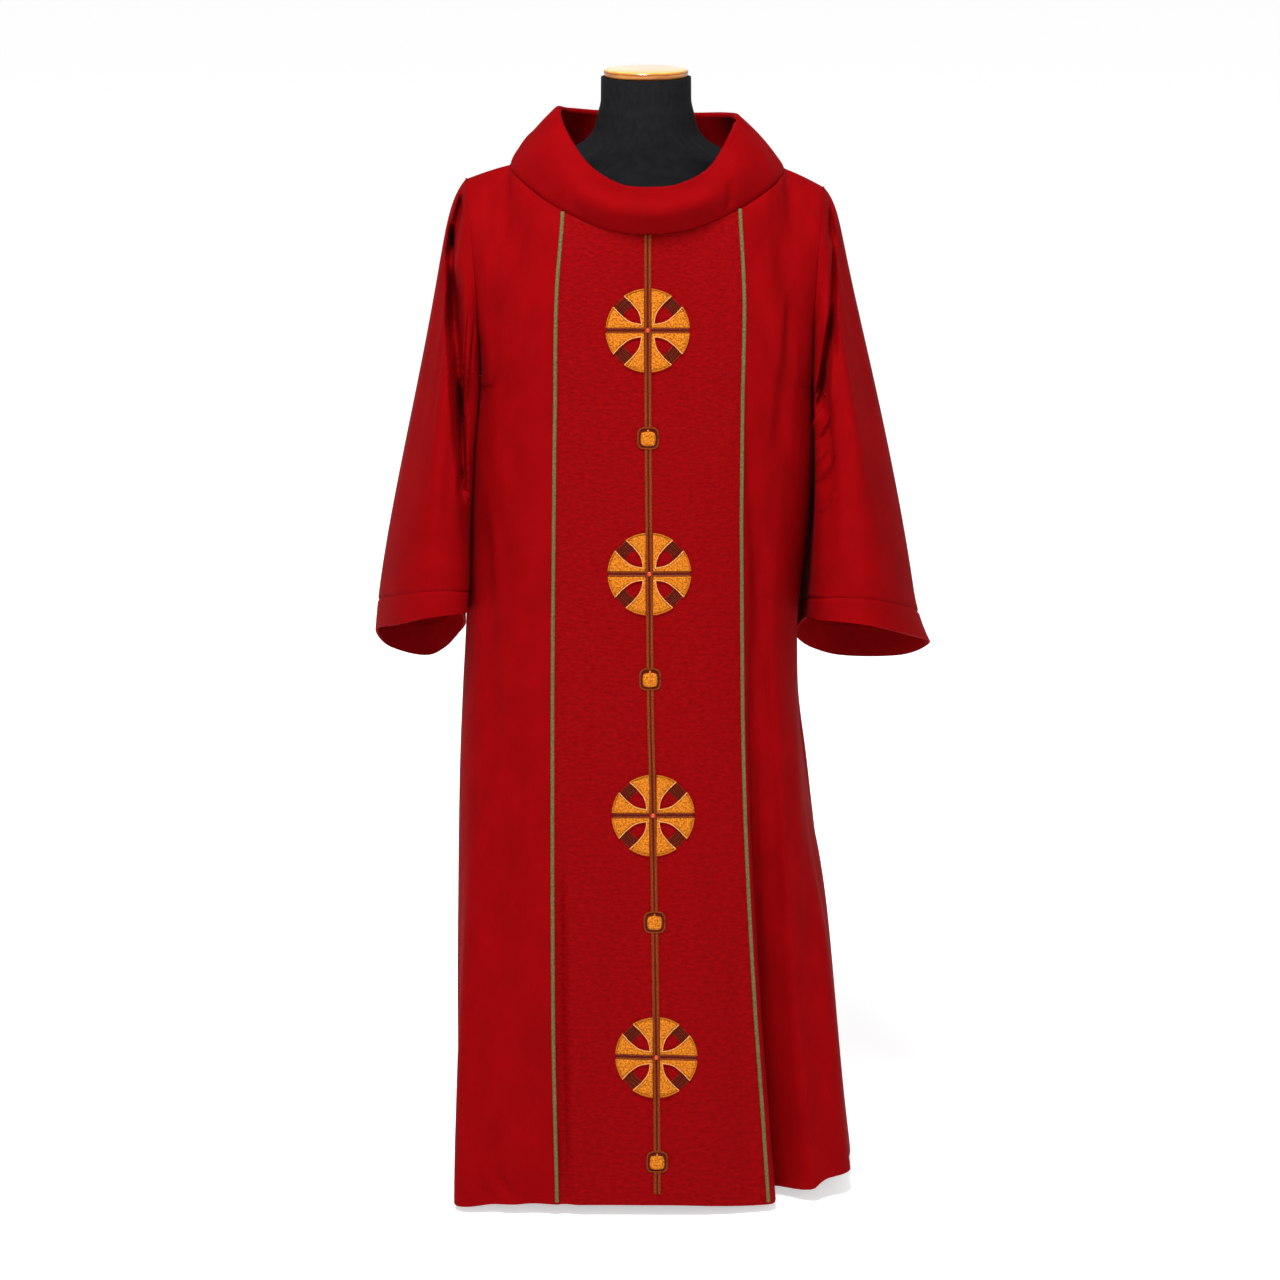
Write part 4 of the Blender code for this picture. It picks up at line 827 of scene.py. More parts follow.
maroon = mottled(finish_of("maroon thread", (0.050, 0.0020, 0.0010), 0.60), 0.0014,
                 (0.026, 0.0008, 0.0005), (0.085, 0.0040, 0.0018))
for m in (olive, gold, pale, bronze, maroon):
    tune(m, Specular_IOR_Level=0.06)
coral = mottled(finish_of("coral bead", (0.420, 0.022, 0.004), 0.35), 0.0030,
                (0.340, 0.012, 0.002), (0.520, 0.055, 0.008), source="Object")
tune(coral, Specular_IOR_Level=0.30)
jersey = mottled(finish_of("black jersey", (0.0050, 0.0055, 0.0080), 0.85), 0.0120,
                 (0.0026, 0.0027, 0.0034), (0.0050, 0.0052, 0.0064))
tune(jersey, Specular_IOR_Level=0.10)
relief(jersey, ribs(jersey, 0.0011), 0.00010, 0.4)
relief(jersey, lumps(jersey, 0.0022), 0.0004, 0.5)
wood = mottled(finish_of("varnished wood", (0.620, 0.300, 0.050), 0.16), 0.055,
               (0.480, 0.180, 0.020), (0.760, 0.440, 0.100), 4.0,
               source="Object", scale=(1.0, 5.0, 5.0))
tune(wood, Coat_Weight=0.6)
# Painted shade: a darker copy of the varnished wood for the cap's side and edge, which the light
# from above misses.
cap_side_painted_shade = mottled(finish_of("wooden cap side with painted shade", (0.330, 0.110, 0.014), 0.20), 0.030,
                   (0.230, 0.060, 0.006), (0.430, 0.170, 0.026), 4.0,
                   source="Object", scale=(1.0, 1.0, 5.0))
steel = mottled(finish_of("brushed steel", (0.480, 0.480, 0.490), 0.32, 1.0), 0.0020,
                (0.400, 0.400, 0.410), (0.560, 0.560, 0.570), source="Object", scale=(1, 1, 0.06))
powder = mottled(finish_of("black powder coat", (0.0120, 0.0120, 0.0130), 0.45), 0.0400,
                 (0.0090, 0.0090, 0.0100), (0.0170, 0.0170, 0.0180), source="Object")
relief(powder, lumps(powder, 0.0012), 0.0002, 0.4)
print(len(bpy.data.materials), "materials")

# %% [markdown]
# ## The panels of the body
# The cutter lays out three panels for the front and three for the back, and each becomes a wall
# of lined cloth. A panel's flat places are worked out up the cloth from the hem, so the
# turned-up part of the hem is the same depth everywhere and the weave runs straight.

# %% Body panels
front_pair, back_pair = (front, front_n), (back, back_n)
# Points and normals, first and last column, flat width, cloth, and slot.
CUTS = {
    "front_left": (front_pair, 0, LEFT_SEAM, 0.33, twill, "red_twill"),
    "front_centre": (front_pair, LEFT_SEAM, RIGHT_SEAM, 0.26, crepe, "red_crepe"),
    "front_right": (front_pair, RIGHT_SEAM, front.shape[1] - 1, 0.33, twill, "red_twill"),
    "back_right": (back_pair, 0, BACK_SEAMS[0], 0.27, twill, "red_twill"),
    "back_centre": (back_pair, *BACK_SEAMS, 0.27, twill, "red_twill"),
    "back_left": (back_pair, BACK_SEAMS[1], back.shape[1] - 1, 0.27, twill, "red_twill"),
}
for name, (pair, first, last, wide, stuff, colour) in CUTS.items():
    grid, n = (g[:, first: last + 1] for g in pair)
    title = name.replace("_", " ") + " panel"
    cloth(title, grid, n, flat_places(grid, wide), stuff, [name])

# %% [markdown]
# ## The sleeves of the garment
# Each sleeve is one wide piece with a single seam, set in at the armhole. Its cuff is turned in
# and stitched, which leaves a line round it a hand's breadth above the edge.

# %% Sleeves
STITCH_LINE, STITCH_HALF = 0.0017, 0.0045
for side, (grid, uv) in sleeves.items():
    n = facing(grid, closed=True)
    line = STITCH_LINE * bump((uv[..., 1] - HEM_DEEP) / STITCH_HALF)
    grid = grid - n * line[..., None]
    cloth(side + " sleeve", grid, n, uv, twill, ["sleeve_" + side], closed=True)

# %% [markdown]
# ## The collar
# The collar is a wide band cut on the bias, sewn to the neckline and folded over itself, so it
# stands off the neck and its edge is round. Its section is a path: up the outer leaf, round the
# turned edge and down inside. The path is drawn at many angles round the neck, in four
# stretches between the two cords, the shoulders and the back.

# %% Collar
TURN_R, INSIDE, COLLAR_THICK = 0.0045, 0.046, 0.0024
COLLAR_ROLL, COLLAR_LEAN = 0.0240, np.array([0, -0.0120, 0.0027])
ROLL_TURN, LEAN_TURN = 85, 75  # degrees from the front at which they end
COLLAR_BULGE, SEAM_FLARE, SEAM_SINK, SINK_TO = 0.0035, 0.0010, 0.0030, 0.09
LEAF_ROWS, TURN_ROWS, INNER_ROWS = 28, 11, 16
STEPS = (40, 28, 64, 28)
CORNERS = (CORD_ANGLE["left"], CORD_ANGLE["right"], -90.0, -270.0, CORD_ANGLE["left"] - 360.0)
angles = [np.linspace(a, b, n + 1)[:-1] for a, b, n in zip(CORNERS, CORNERS[1:], STEPS)]
angles = np.append(np.concatenate(angles), CORNERS[-1])


def collar_grid(angles):
    """Outer points of the collar: rows follow the section, columns go round the neck."""
    a = (angles + 180) % 360 - 180
    seam, ahead = neckline(a), a + 1
    fold = neckline(a, "fold") + bump(ahead / LEAN_TURN)[:, None] * COLLAR_LEAN
    away = unit((seam - np.array([0.003, 0, 0])) * np.array([1, 1, 0]))
    long = np.linalg.norm(fold - seam, axis=-1, keepdims=True)
    leaf = (fold - seam) / long
    face = unit(away - leaf * np.sum(away * leaf, axis=-1, keepdims=True))
    roll = (COLLAR_ROLL * bump(ahead / ROLL_TURN))[:, None]
    rows = []
    for s in np.linspace(0, 1, LEAF_ROWS):
        out = COLLAR_BULGE * math.sin(math.pi * s) + SEAM_FLARE * (1 - s) ** 3
        out = out + roll * 4.8 * s**1.3 * (1 - s) - SEAM_SINK * max(0, 1 - s / SINK_TO) ** 2
        rows.append(seam + leaf * ((long - TURN_R) * s - 0.0016 * (1 - s) ** 6) + face * out)
    hub = fold - leaf * TURN_R - face * TURN_R
    for d in np.radians(np.linspace(15, 165, TURN_ROWS)):
        rows.append(hub + face * TURN_R * math.cos(d) + leaf * TURN_R * math.sin(d))
    down = unit(-leaf * 0.86 - face * 0.10 - np.array([0, 0, 0.12]))
    for s in np.linspace(0, 1, INNER_ROWS):
        rows.append(hub - face * TURN_R + down * INSIDE * s)
    return np.array(rows)


COLLAR_CREASES = (
    (98, 10, 114, 44, 13, 4), (180, 6, 205, 50, 20, -1.6), (-100, 10, -128, 52, 22, 1.8),
    (-20, 8, 10, 44, 30, -1.2), (-190, 70, -240, 110, 12, 3), (215, 72, 250, 112, 12, 2.6),
    (520, 10, 560, 50, 18, 1.8), (700, 8, 680, 50, 20, -1.8),
)
collar = collar_grid(angles)
up, round_neck = lengths(collar), lengths(collar[0])
flat = np.stack((round_neck - round_neck[STEPS[0] // 2] + 0 * up, up), axis=-1)
collar = press(collar, facing(collar, closed=True), flat[..., 0], up, COLLAR_CREASES)
collar[:, -1] = collar[:, 0]
bm = bmesh.new()
lay_shell(bm, collar, collar - facing(collar, closed=True) * COLLAR_THICK, flat, closed=True)
keep(bm, "folded collar", [twill], ["collar"])
print("neckline", round(float(round_neck[-1]), 3), "m round")

# %% [markdown]
# ## Finding places on the front
# Embroidery is worked on the flat panel and then bends with it. A place is therefore given as it
# is seen from the front, across and up, and the panel is searched for the point that lies there.
# A lift along the cloth's own normal keeps each thread lying on top.

# %% Laying things on the front
centre, centre_n = (g[:, LEFT_SEAM: RIGHT_SEAM + 1] for g in front_pair)
LAST_ROW, LAST_COL = centre.shape[0] - 1, centre.shape[1] - 1
THREAD_ROUND = 6.28 * 0.0025


def read_grid(grid, row, col):
    """Reads a grid between its points."""
    j = np.clip(row.astype(int), 0, grid.shape[0] - 2)
    i = np.clip(col.astype(int), 0, grid.shape[1] - 2)
    v, u = (row - j)[..., None], (col - i)[..., None]
    low = grid[j, i] * (1 - u) + grid[j, i + 1] * u
    high = grid[j + 1, i] * (1 - u) + grid[j + 1, i + 1] * u
    return low * (1 - v) + high * v


def on_front(x, z, lift=0.0):
    """Points of the centre panel that are seen at x and z, raised by a lift."""
    x, z = np.broadcast_arrays(np.asarray(x, float), np.asarray(z, float))
    row = np.interp(z, centre[:, LAST_COL // 2, 2], np.arange(len(centre)))
    col = np.full(x.shape, LAST_COL / 2)
    for _ in range(6):
        p = read_grid(centre, row, col)
        across = read_grid(centre, row, np.minimum(col + 0.5, LAST_COL - 0.1))[..., 0] - p[..., 0]
        above = read_grid(centre, np.minimum(row + 0.5, LAST_ROW - 0.1), col)[..., 2] - p[..., 2]
        col = col + 0.5 * (x - p[..., 0]) / np.maximum(across, 1e-4)
        row = row + 0.5 * (z - p[..., 2]) / np.maximum(above, 1e-4)
        col, row = np.clip(col, 0, LAST_COL - 0.6), np.clip(row, 0, LAST_ROW - 0.6)
    n = unit(read_grid(centre_n, row, col))
    return read_grid(centre, row, col) + n * np.asarray(lift, float)[..., None]


def middle_x(z):
    """The embroidered line wanders a little, as the panel hangs."""
    return body("mid", z)


def lay_rings(bm, grid, uv, material=0):
    """Adds a closed body through rings of points, one a row, filled at both ends."""
    rows, cols = grid.shape[0] - 1, grid.shape[1] - 1
    made = bmesh.ops.create_grid(bm, x_segments=cols, y_segments=rows, size=1.0)["verts"]
    spot = spots(made, rows, cols)
    dress(bm, spot, uv, material)
    for v, place in spot.items():
        v.co = grid[place]
    bmesh.ops.remove_doubles(bm, verts=[v for v in spot if spot[v][1] in (0, cols)], dist=1e-7)
    bmesh.ops.holes_fill(bm, edges=[e for e in bm.edges if e.is_boundary], sides=0)
    bmesh.ops.recalc_face_normals(bm, faces=[f for f in bm.faces if f.material_index == material])


def lay_tube(bm, path, radius, out=FORWARD, sides=10, flat=1.0, twist=0.0, deep=0.0, material=0):
    """Adds a round or two-stranded thread along a path; out points away from the cloth."""
    along = unit(np.gradient(path, axis=0))
    out = unit(out - along * np.sum(out * along, axis=1, keepdims=True))
    side, long = np.cross(along, out), lengths(path)[:, None]
    a = np.linspace(0, 2 * math.pi, sides + 1)
    wave = np.abs(np.cos(a - twist * long))
    r = np.reshape(radius, (-1, 1)) * (1 - deep * (1 - wave))
    c, s = np.cos(a)[:, None], np.sin(a)[:, None]
    grid = path[:, None] + (out[:, None] * c * flat + side[:, None] * s) * r[..., None]
    across = np.arange(sides + 1) / sides * THREAD_ROUND
    lay_rings(bm, grid, np.stack(np.broadcast_arrays(across, long), axis=-1), material)


def lay_patch(bm, x, z, height, edge_lift=0.0004, material=0):
    """Adds a padded patch: x and z are the places seen, height is its rise over the cloth."""
    x, z, height = np.broadcast_arrays(x, z, height)
    top, low = on_front(x, z, edge_lift + height), on_front(x, z)
    lay_shell(bm, top, low, np.stack((x, z), axis=-1), material=material)


print("centre of the lowest roundel", np.round(on_front(0.0, 0.206), 4))

# %% [markdown]
# ## Corded seams
# A fine twisted cord covers each seam between the centre panel and the side panels. Two strands
# wind round each other about every eight millimetres, and the cord is couched down flat, so it is
# a little wider than it is high.


# %% Seam cords
CORD_R, CORD_FLAT, CORD_TURN, CORD_STEP = 0.0026, 0.62, 0.0085, 0.0016


def evenly(path, gap):
    """A path with points a fixed gap apart."""
    long = lengths(path)
    s = np.linspace(0, long[-1], max(2, int(long[-1] / gap)) + 1)
    return np.stack([np.interp(s, long, path[:, k]) for k in range(3)], axis=1)


for side, col in (("left", LEFT_SEAM), ("right", RIGHT_SEAM)):
    path = evenly(front[:, col] + front_n[:, col] * 0.0008, CORD_STEP)[2:-2]
    bm = bmesh.new()
    lay_tube(bm, path, CORD_R, np.array([0, -1.0, 0.05]), 12, CORD_FLAT,
             2 * math.pi / CORD_TURN, 0.22)
    keep(bm, side + " seam cord", [olive], ["piping_" + side], 60)

# %% [markdown]
# ## The embroidered band
# A narrow band of bronze thread runs down the middle from the collar almost to the hem. It is two
# padded ridges with a dark groove between them, and it stops at every ornament it meets.

# %% Band
CROSS_R, CROSS_Z = 0.051, (1.1220, 0.8190, 0.5150, 0.2060)
SQUARE_HALF, SQUARE_Z = 0.0135, (0.9880, 0.6865, 0.3785, 0.0710)
BAND_HALF, BAND_TOP, BAND_END = 0.0043, 1.2405, 0.030
stops = [BAND_TOP]
for z_cross, z_square in zip(CROSS_Z, SQUARE_Z):
    stops += [z_cross + CROSS_R - 0.001, z_cross - CROSS_R + 0.001]
    stops += [z_square + SQUARE_HALF, z_square - SQUARE_HALF]
stops.append(BAND_END)
# Place across, and rise.
RIDGES = ((-0.0048, 0.0), (-0.0043, 0.0010), (-0.0031, 0.0015), (-0.0017, 0.0012),
          (-0.0009, 0.0004), (0.0, 0.0002), (0.0009, 0.0004), (0.0017, 0.0012),
          (0.0031, 0.0015), (0.0043, 0.0010), (0.0048, 0.0))
STRIPS = ((0, 4, 0), (4, 6, 1), (6, 10, 0))  # first and last line of a strip, and its finish


def lay_band(bm, high, low, tall=1.0):
    """Two ridges of thread with a dark groove, from one height down to another."""
    z = np.linspace(low, high, max(3, int((high - low) / 0.004)) + 1)[:, None]
    for first, last, shade in STRIPS:
        across, rise = np.array(RIDGES[first: last + 1]).T
        across = across * BAND_HALF / RIDGES[-1][0]
        lay_patch(bm, middle_x(z) + across, z, rise * tall, 0.0003, shade)


for number, (high, low) in enumerate(zip(stops[::2], stops[1::2]), 1):
    bm = bmesh.new()
    lay_band(bm, high, low)
    keep(bm, "bronze band %d" % number, [bronze, maroon], ["band_%d" % number], 70)

# %% [markdown]
# ## Roundels with a cross
# Four roundels hold a cross whose arms widen to the rim. Each arm is two petals of gold thread
# laid over padding, with a bar between them. In the four windows three dark bars follow the rim,
# like a wheel behind the cross. A pale cord is couched round each petal, stitch by stitch, which
# gives it a beaded edge.

# %% Roundels
# Widths of a petal (B) at places out along its arm (A), in shares of the radius.
SIDE_A = (0.100, 0.25, 0.42, 0.63, 0.832)
SIDE_B = (0.145, 0.16, 0.205, 0.355, 0.565)
ROOT = 0.10
INNER = {True: 0.0046 / CROSS_R, False: 0.0036 / CROSS_R}  # beside the upright and level bars
PETALS = [(upright, sa, sb) for upright in (True, False) for sa in (1, -1) for sb in (1, -1)]
# Radius, width (shares of the roundel's), and finish.
WHEEL = [(r, 0.070, 0) for r in (0.93, 0.84, 0.75)]
WHEEL += [(r, 0.014, 1) for r in (0.975, 0.885, 0.795, 0.705)]
OVER = np.linspace(-1, 1, 5)[:, None]  # places over a bar, from edge to edge
# From, to, rise, and finish.
BARS = ((-0.0036, -0.0014, 0.0010, 0), (-0.0014, 0.0014, 0.0006, 1), (0.0014, 0.0036, 0.0010, 0))
STITCH, BEAD_R, BEAD_LIFT, BEAD_STEP = 0.0025, 0.00075, 0.0020, 0.0004
PETAL_RISE, WHEEL_RISE, BAND_TALL, CORAL_R = 0.0017, 0.0008, 1.35, 0.0027


def put(upright, a, b):
    """Swaps out-and-sideways into across-and-up."""
    return (b, a) if upright else (a, b)


def petal_places(upright, sa, sb):
    """Seen places of a petal: out along its arm (a) and sideways (b), in shares of the radius."""
    inner = INNER[upright]
    t, s = np.linspace(0, 1, 17)[None, :], np.linspace(0, 1, 9)[:, None]
    end = np.sqrt(1 - (inner + (SIDE_B[-1] - inner) * s) ** 2)
    a = ROOT + (end - ROOT) * t
    b = inner + (smooth(ROOT + (SIDE_A[-1] - ROOT) * t, SIDE_A, SIDE_B) - inner) * s
    return *put(upright, sa * a, sb * b), t, s


def petal_edge(upright):
    """The curved side of a petal and its rim, in shares of the radius."""
    a = np.linspace(0.13, SIDE_A[-1], 26)
    b = smooth(a, SIDE_A, SIDE_B)
    turn = np.linspace(math.atan2(b[-1], a[-1]), math.asin(INNER[upright]), 18)
    return (a, b), (np.cos(turn), np.sin(turn))


def lay_beads(bm, x, z, material):
    """A couched cord: a thread that swells between its stitches."""
    flat = evenly(np.stack((x, z, 0 * x), axis=1), BEAD_STEP)
    long = np.arange(len(flat)) * BEAD_STEP
    swell = BEAD_R * (0.65 + 0.50 * np.abs(np.sin(math.pi * long / STITCH)))
    lay_tube(bm, on_front(flat[:, 0], flat[:, 1], BEAD_LIFT), swell, sides=6, material=material)


for k, z0 in enumerate(CROSS_Z):
    x0, name = float(middle_x(z0)), "roundel %d" % (k + 1)
    stands_for = ["medallion_%d" % (k + 1)]
    bm = bmesh.new()
    for petal in PETALS:
        x, z, t, s = petal_places(*petal)
        rise = PETAL_RISE * (np.clip(4 * t, 0, 1) * np.clip(9 * (1 - t), 0, 1)) ** 0.5
        rise = rise * (np.clip(7 * (1 - s), 0, 1) * np.clip(7 * s + 0.5, 0, 1)) ** 0.5
        lay_patch(bm, x0 + x * CROSS_R, z0 + z * CROSS_R, rise)
    keep(bm, name + " petals", [gold], stands_for, 50)
    bm = bmesh.new()
    for upright, sa, sb in PETALS:
        for on_rim, (a, b) in enumerate(petal_edge(upright)):
            x, z = put(upright, sa * a, sb * b)
            lay_beads(bm, x0 + x * CROSS_R, z0 + z * CROSS_R, on_rim)
    keep(bm, name + " couched cord", [pale, gold], stands_for, 60)
    bm = bmesh.new()
    for quarter in range(4):
        for r, wide, shade in WHEEL:
            spread = 12.5 if r > 0.9 else 13.5 if r > 0.8 else 15.0
            turn = np.radians(45 + 90 * quarter + np.linspace(-spread, spread, 9))
            far = CROSS_R * (r + wide / 2 * OVER)
            rise = WHEEL_RISE * np.sqrt(1 - OVER**2)
            lay_patch(bm, x0 + far * np.cos(turn), z0 + far * np.sin(turn), rise, 0.0002, shade)
    keep(bm, name + " wheel bars", [maroon, bronze], stands_for, 60)
    bm = bmesh.new()
    lay_band(bm, z0 + CROSS_R, z0 - CROSS_R, BAND_TALL)
    for x1, x2 in ((x0 - CROSS_R + 0.0005, x0 - 0.0042), (x0 + 0.0042, x0 + CROSS_R - 0.0005)):
        for z1, z2, tall, shade in BARS:
            rise = tall * np.sqrt(1 - 0.9 * OVER**2)
            z = z0 + np.linspace(z1, z2, 5)[:, None]
            lay_patch(bm, np.linspace(x1, x2, 17), z, rise, 0.0003, shade)
    keep(bm, name + " cross bars", [bronze, maroon], stands_for, 70)
    bm = bmesh.new()
    bmesh.ops.create_uvsphere(bm, u_segments=20, v_segments=12, radius=CORAL_R)
    bmesh.ops.scale(bm, vec=(0.9, 0.62, 1.1), verts=bm.verts)
    bmesh.ops.translate(bm, vec=on_front(x0, z0, BEAD_LIFT).ravel(), verts=bm.verts)
    for f in bm.faces:
        f.smooth = True
    keep(bm, name + " bead", [coral], stands_for)

# %% [markdown]
# ## Square ornaments
# Between the roundels the band opens into a small arch of bronze thread round a padded gold
# square, with a flat dark maroon sheet between the two as painted shade inside the frame.

# %% Squares
FRAME_HALF, FRAME_POWER, FRAME_R, SHADE_SHEET_HALF = 0.0125, 4.0, 0.0010, 0.0118
CUSHION_X, CUSHION_Z, CUSHION_RISE, ARCH = 0.0093, 0.0090, 0.0021, 0.0012


def small_square(count):
    """Places from -1 to 1, across and up."""
    return np.meshgrid(np.linspace(-1, 1, count), np.linspace(-1, 1, count))


for k, z0 in enumerate(SQUARE_Z):
    x0, name = float(middle_x(z0)), "square %d" % (k + 1)
    stands_for = ["square_%d" % (k + 1)]
    bm = bmesh.new()
    s, t = small_square(13)
    pinch = 1 - 0.16 * (np.abs(s) * np.abs(t)) ** 2
    rise = CUSHION_RISE * ((1 - np.abs(s) ** 5) * (1 - np.abs(t) ** 5)) ** 0.5
    lay_patch(bm, x0 + CUSHION_X * s * pinch, z0 - 0.0006 + CUSHION_Z * t * pinch, rise)
    s, t = small_square(5)
    lay_patch(bm, x0 + 0.0012 * s, z0 + 0.0098 + 0.0014 * t, 0.0010 * (1 - s**2))
    keep(bm, name + " gold", [gold], stands_for, 60)
    bm = bmesh.new()
    turn = np.linspace(0, 2 * math.pi, 61)
    fx = squared(np.cos(turn), FRAME_POWER) * FRAME_HALF
    fz = squared(np.sin(turn), FRAME_POWER) * FRAME_HALF
    fz = fz + np.where(fz > 0, ARCH * (1 - (fx / FRAME_HALF) ** 2), 0)
    ring = on_front(x0 + fx, z0 + fz, FRAME_R)[:-1]
    lay_tube(bm, np.concatenate((ring, ring[:2])), FRAME_R, sides=8, flat=0.8)
    # Painted shade: a flat maroon sheet under the cushion stands for the shadow inside the frame.
    s, t = small_square(9)
    lay_patch(bm, x0 + SHADE_SHEET_HALF * s, z0 + SHADE_SHEET_HALF * t, 0.0001, 0.0002, 1)
    keep(bm, name + " frame", [bronze, maroon], stands_for, 60)

# %% [markdown]
# ## The dress form
# The garment rests on the shoulders of a limbless form: a padded torso covered in black jersey,
# a turned wooden cap on its neck, and a steel pole on a heavy round base. Only the neck and the
# cap show from the front, but the cloth needs the shoulders to hang from.

# %% Torso
TORSO = {
    "z": (
        620, 635, 700, 800, 890, 970, 1050, 1130, 1190, 1240, 1268, 1282.5, 1289.7, 1293.9,
        1297.7, 1305, 1320, 1338, 1354, 1372, 1416.8),
    "half": (
        118, 126, 135, 137, 128, 123, 132, 148, 168, 188, 196, 197, 192, 182.5, 172.5, 149.5, 110,
        76, 61, 56.6, 56.2),
    "front": (
        74, 80, 86, 88, 84, 81, 88, 96, 94, 73, 53, 40, 34.5, 32, 34, 42, 52, 56, 56.2, 56.4,
        56.2),
    "back": (
        70, 77, 84, 86, 79, 74, 75, 79, 79, 66, 49, 38, 33.5, 30, 32, 42, 52, 56, 56.2, 56.4,
        56.2),
}
NECK_Y, TORSO_ROWS, TORSO_COLS = 0.006, 180, 96
ROOT = {
    "z": (1190, 1240, 1268, 1294, 1320, 1338, 1416.8),
    "half": (90, 100, 106, 100, 80, 66, 50),
    "deep": (70, 72.5, 69, 64, 59.5, 57, 50),
}


def at_level(table, name, z):
    return smooth(z, np.array(table["z"]) / 1000, np.array(table[name]) / 1000)


def torso_grid():
    """Rings of the padding from the waist to the neck, and their flat places."""
    row = np.linspace(0, len(TORSO["z"]) - 1, TORSO_ROWS + 1)[:, None]
    z = np.interp(row, np.arange(len(TORSO["z"])), TORSO["z"]) / 1000
    half, ahead, behind = (at_level(TORSO, n, z) for n in ("half", "front", "back"))
    turn = np.linspace(0, 2 * math.pi, TORSO_COLS + 1)[None, :]
    c, s = np.cos(turn), np.sin(turn)
    power = np.interp(z, (1.19, 1.268), (2.2, 2.0))
    x, y = half * squared(c, power), np.where(s >= 0, behind, ahead) * squared(s, power)
    wide, deep = at_level(ROOT, "half", z), at_level(ROOT, "deep", z)
    plain = np.hypot(x, y)
    root = plain / np.maximum(np.hypot(x / wide, y / deep), 1e-6)
    swell = np.where(z > 1.19, (1 + (root / plain) ** 14) ** (1 / 14), 1)
    swell = 1 + (swell - 1) * ease((z - 1.20) / 0.03) * ease((1.39 - z) / 0.02)
    return vector(x * swell, NECK_Y + y * swell, z + 0 * c), vector(turn * 0.12, z)


bm = bmesh.new()
lay_rings(bm, *torso_grid())
keep(bm, "form torso padding", [jersey], ["form_torso"], 50)


# %% [markdown]
# ## Cap, pole and base
# The cap is turned on a lathe from a pale varnished wood, with a soft round at its edge; its side
# and edge are painted darker, as painted shade.
# The pole is a steel tube and the base a heavy plate with a bead at its edge. All three are round,
# so each is a profile of radius and height that is spun once about its own axis.


# %% Cap, pole and base
def turned(profile, y=0.0):
    """A turned piece: a profile of (radius, height) spun once round."""
    bm = bmesh.new()
    line = bmesh.ops.create_grid(bm, x_segments=len(profile) - 1, y_segments=1, size=1.0)["verts"]
    order = sorted(line, key=lambda v: (v.co.y, v.co.x))
    bmesh.ops.delete(bm, geom=order[len(profile):], context="VERTS")
    order = order[: len(profile)]
    for v, (r, z) in zip(order, profile):
        v.co = (r, 0.0, z)
    bmesh.ops.spin(bm, geom=list(bm.verts) + list(bm.edges), cent=(0, 0, 0), axis=(0, 0, 1),
                   angle=2 * math.pi, steps=96, use_merge=True)
    bmesh.ops.remove_doubles(bm, verts=bm.verts, dist=1e-6)
    bmesh.ops.translate(bm, vec=(0, y, 0), verts=bm.verts)
    bmesh.ops.recalc_face_normals(bm, faces=bm.faces)
    for f in bm.faces:
        f.smooth = True
    return bm


low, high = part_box("neck_cap")
CAP_Z, CAP_TOP, CAP_R, CAP_EDGE = low[2], high[2], (high[0] - low[0]) / 2, 0.0040
profile = [(0.0, CAP_Z), (CAP_R - 0.0030, CAP_Z), (CAP_R - 0.0012, CAP_Z + 0.0006)]
profile += [(CAP_R - 0.0003, CAP_Z + 0.0020), (CAP_R, CAP_Z + 0.0045), (CAP_R, CAP_Z + 0.0070)]
for d in range(0, 91, 15):
    c, s = math.cos(math.radians(d)), math.sin(math.radians(d))
    profile.append((CAP_R - CAP_EDGE * (1 - c), CAP_TOP - CAP_EDGE * (1 - s)))
profile.append((0.0, CAP_TOP))
bm = turned(profile, NECK_Y)
# Painted shade: all but the top of the cap takes the darker copy of the wood.
for f in bm.faces:
    f.material_index = 1 if f.calc_center_median()[2] < CAP_TOP - 0.0012 else 0
keep(bm, "cap on the neck", [wood, cap_side_painted_shade], ["neck_cap"])
low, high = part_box("form_pole")
POLE_R = 0.0125
profile = [(0.0, low[2]), (POLE_R, low[2]), (POLE_R, high[2]), (0.0, high[2])]
keep(turned(profile), "pole of the form", [steel], ["form_pole"])
profile = [(0.0, 0.0), (0.1485, 0.0), (0.1500, 0.0012), (0.1500, 0.0052), (0.1492, 0.0068),
           (0.1476, 0.0078), (0.1450, 0.0080), (0.0, 0.0080)]
keep(turned(profile), "base of the form", [powder], ["form_base"])
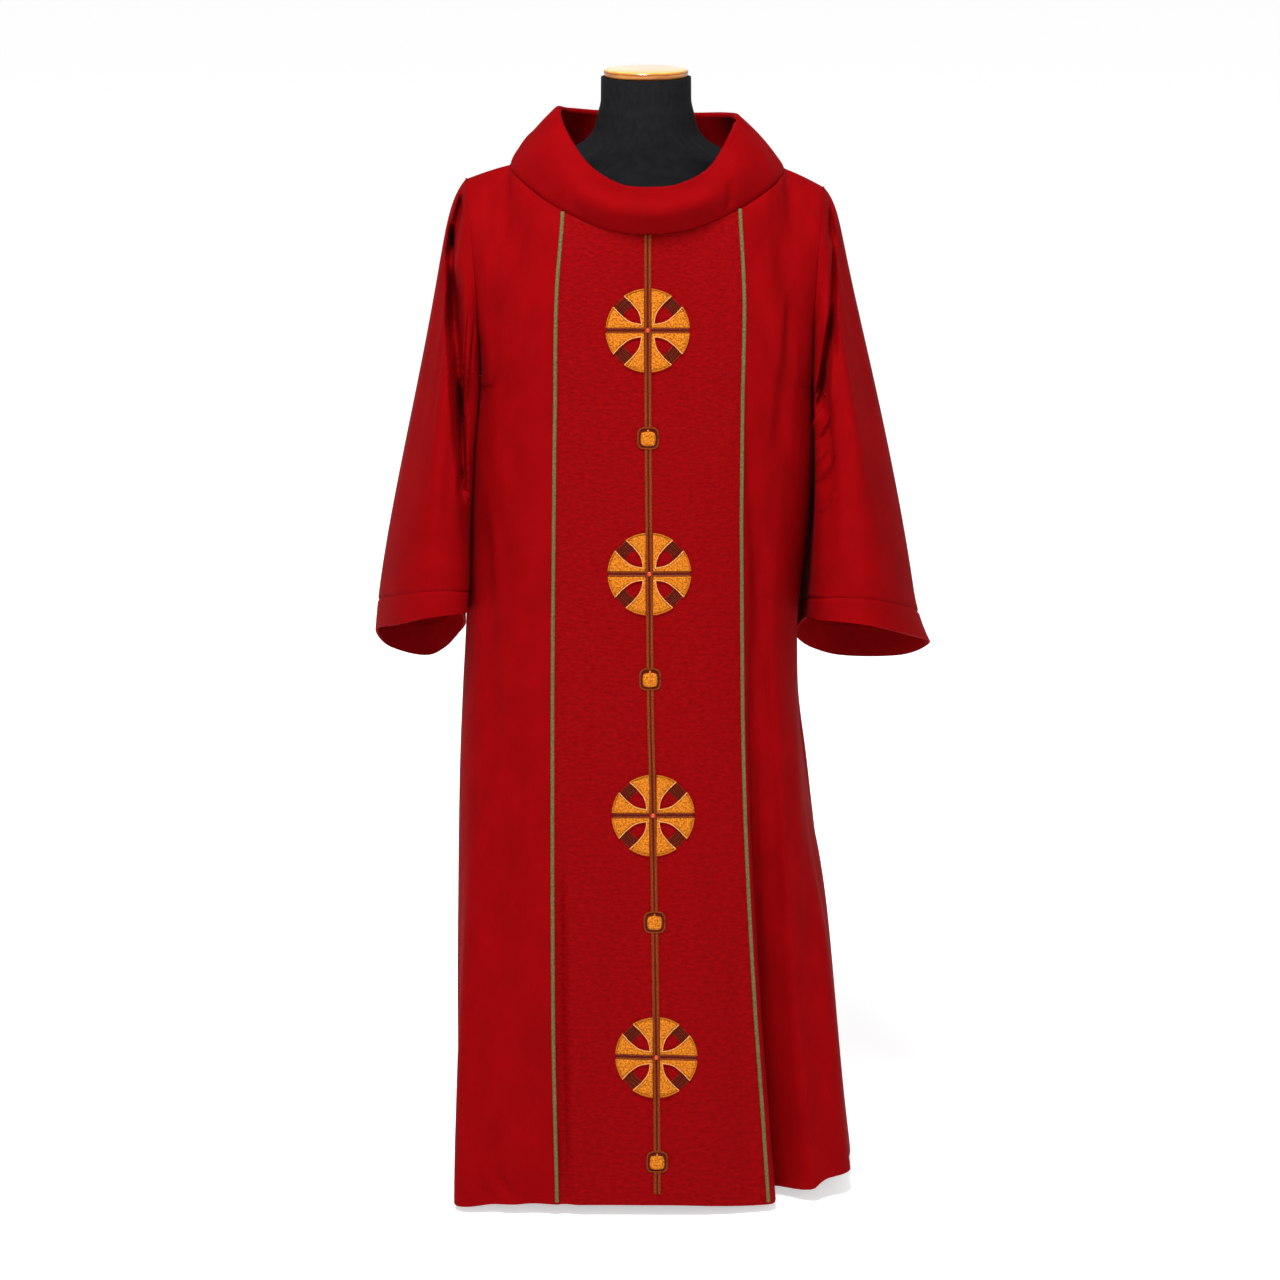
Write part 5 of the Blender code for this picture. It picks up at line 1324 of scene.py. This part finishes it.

# %% [markdown]

# %% [markdown]
# ## Studio
# The garment is lit as in a catalogue: a bright room all round, so that the folds stay soft, and
# one large lamp from the upper left, so that the deep tucks of the sleeves fall dark. The room
# dims overhead, because a white ceiling would wash out every fold that faces up.

# %% Floor, lights and room
FLOOR_SIZE, FLOOR_Z, PAPER_GLOW = 40.0, -0.0005, 0.52
DIM_FROM, DIM_TO, CEILING = 0.05, 0.50, 0.42
bm = bmesh.new()
bmesh.ops.create_grid(bm, x_segments=1, y_segments=1, size=FLOOR_SIZE)
mesh = bpy.data.meshes.new("floor")
bm.to_mesh(mesh)
bm.free()
floor = add("floor", mesh)
paper = finish_of("white paper floor", (0.93, 0.93, 0.93), 0.9)
tune(paper, Emission_Color=(1, 1, 1, 1), Emission_Strength=PAPER_GLOW)
mesh.materials.append(paper)
floor.location.z = FLOOR_Z


def lamp(name, place, aim, size, watts):
    """A soft square lamp that looks at a point."""
    light = bpy.data.lights.new(name, "AREA")
    light.size, light.energy = size, watts
    obj = add(name, light)
    obj.location = place
    away = [p - a for p, a in zip(place, aim)]
    tilt = math.atan2(math.hypot(away[0], away[1]), away[2])
    obj.rotation_euler = (tilt, 0, math.atan2(away[0], -away[1]))


lamp("key lamp", (-0.5, -2.1, 4.4), (0.0, 0, 1.05), 1.1, 335)
lamp("right fill", (1.6, -4.2, 2.2), (0, 0, 0.9), 1.8, 36)
room = bpy.data.worlds.new("white room")
room.use_nodes = True
sky, links = room.node_tree.nodes["Background"], room.node_tree.links
sky.inputs["Color"].default_value = (1, 1, 1, 1)
height = node(room, "SeparateXYZ")
fading = node(room, "MapRange", From_Min=DIM_FROM, From_Max=DIM_TO, To_Min=1.0, To_Max=CEILING)
links.new(node(room, "TexCoord").outputs["Generated"], height.inputs["Vector"])
links.new(height.outputs["Z"], fading.inputs["Value"])
links.new(fading.outputs["Result"], sky.inputs["Strength"])
bpy.context.scene.world = room
bpy.context.scene.view_settings.view_transform = "Standard"
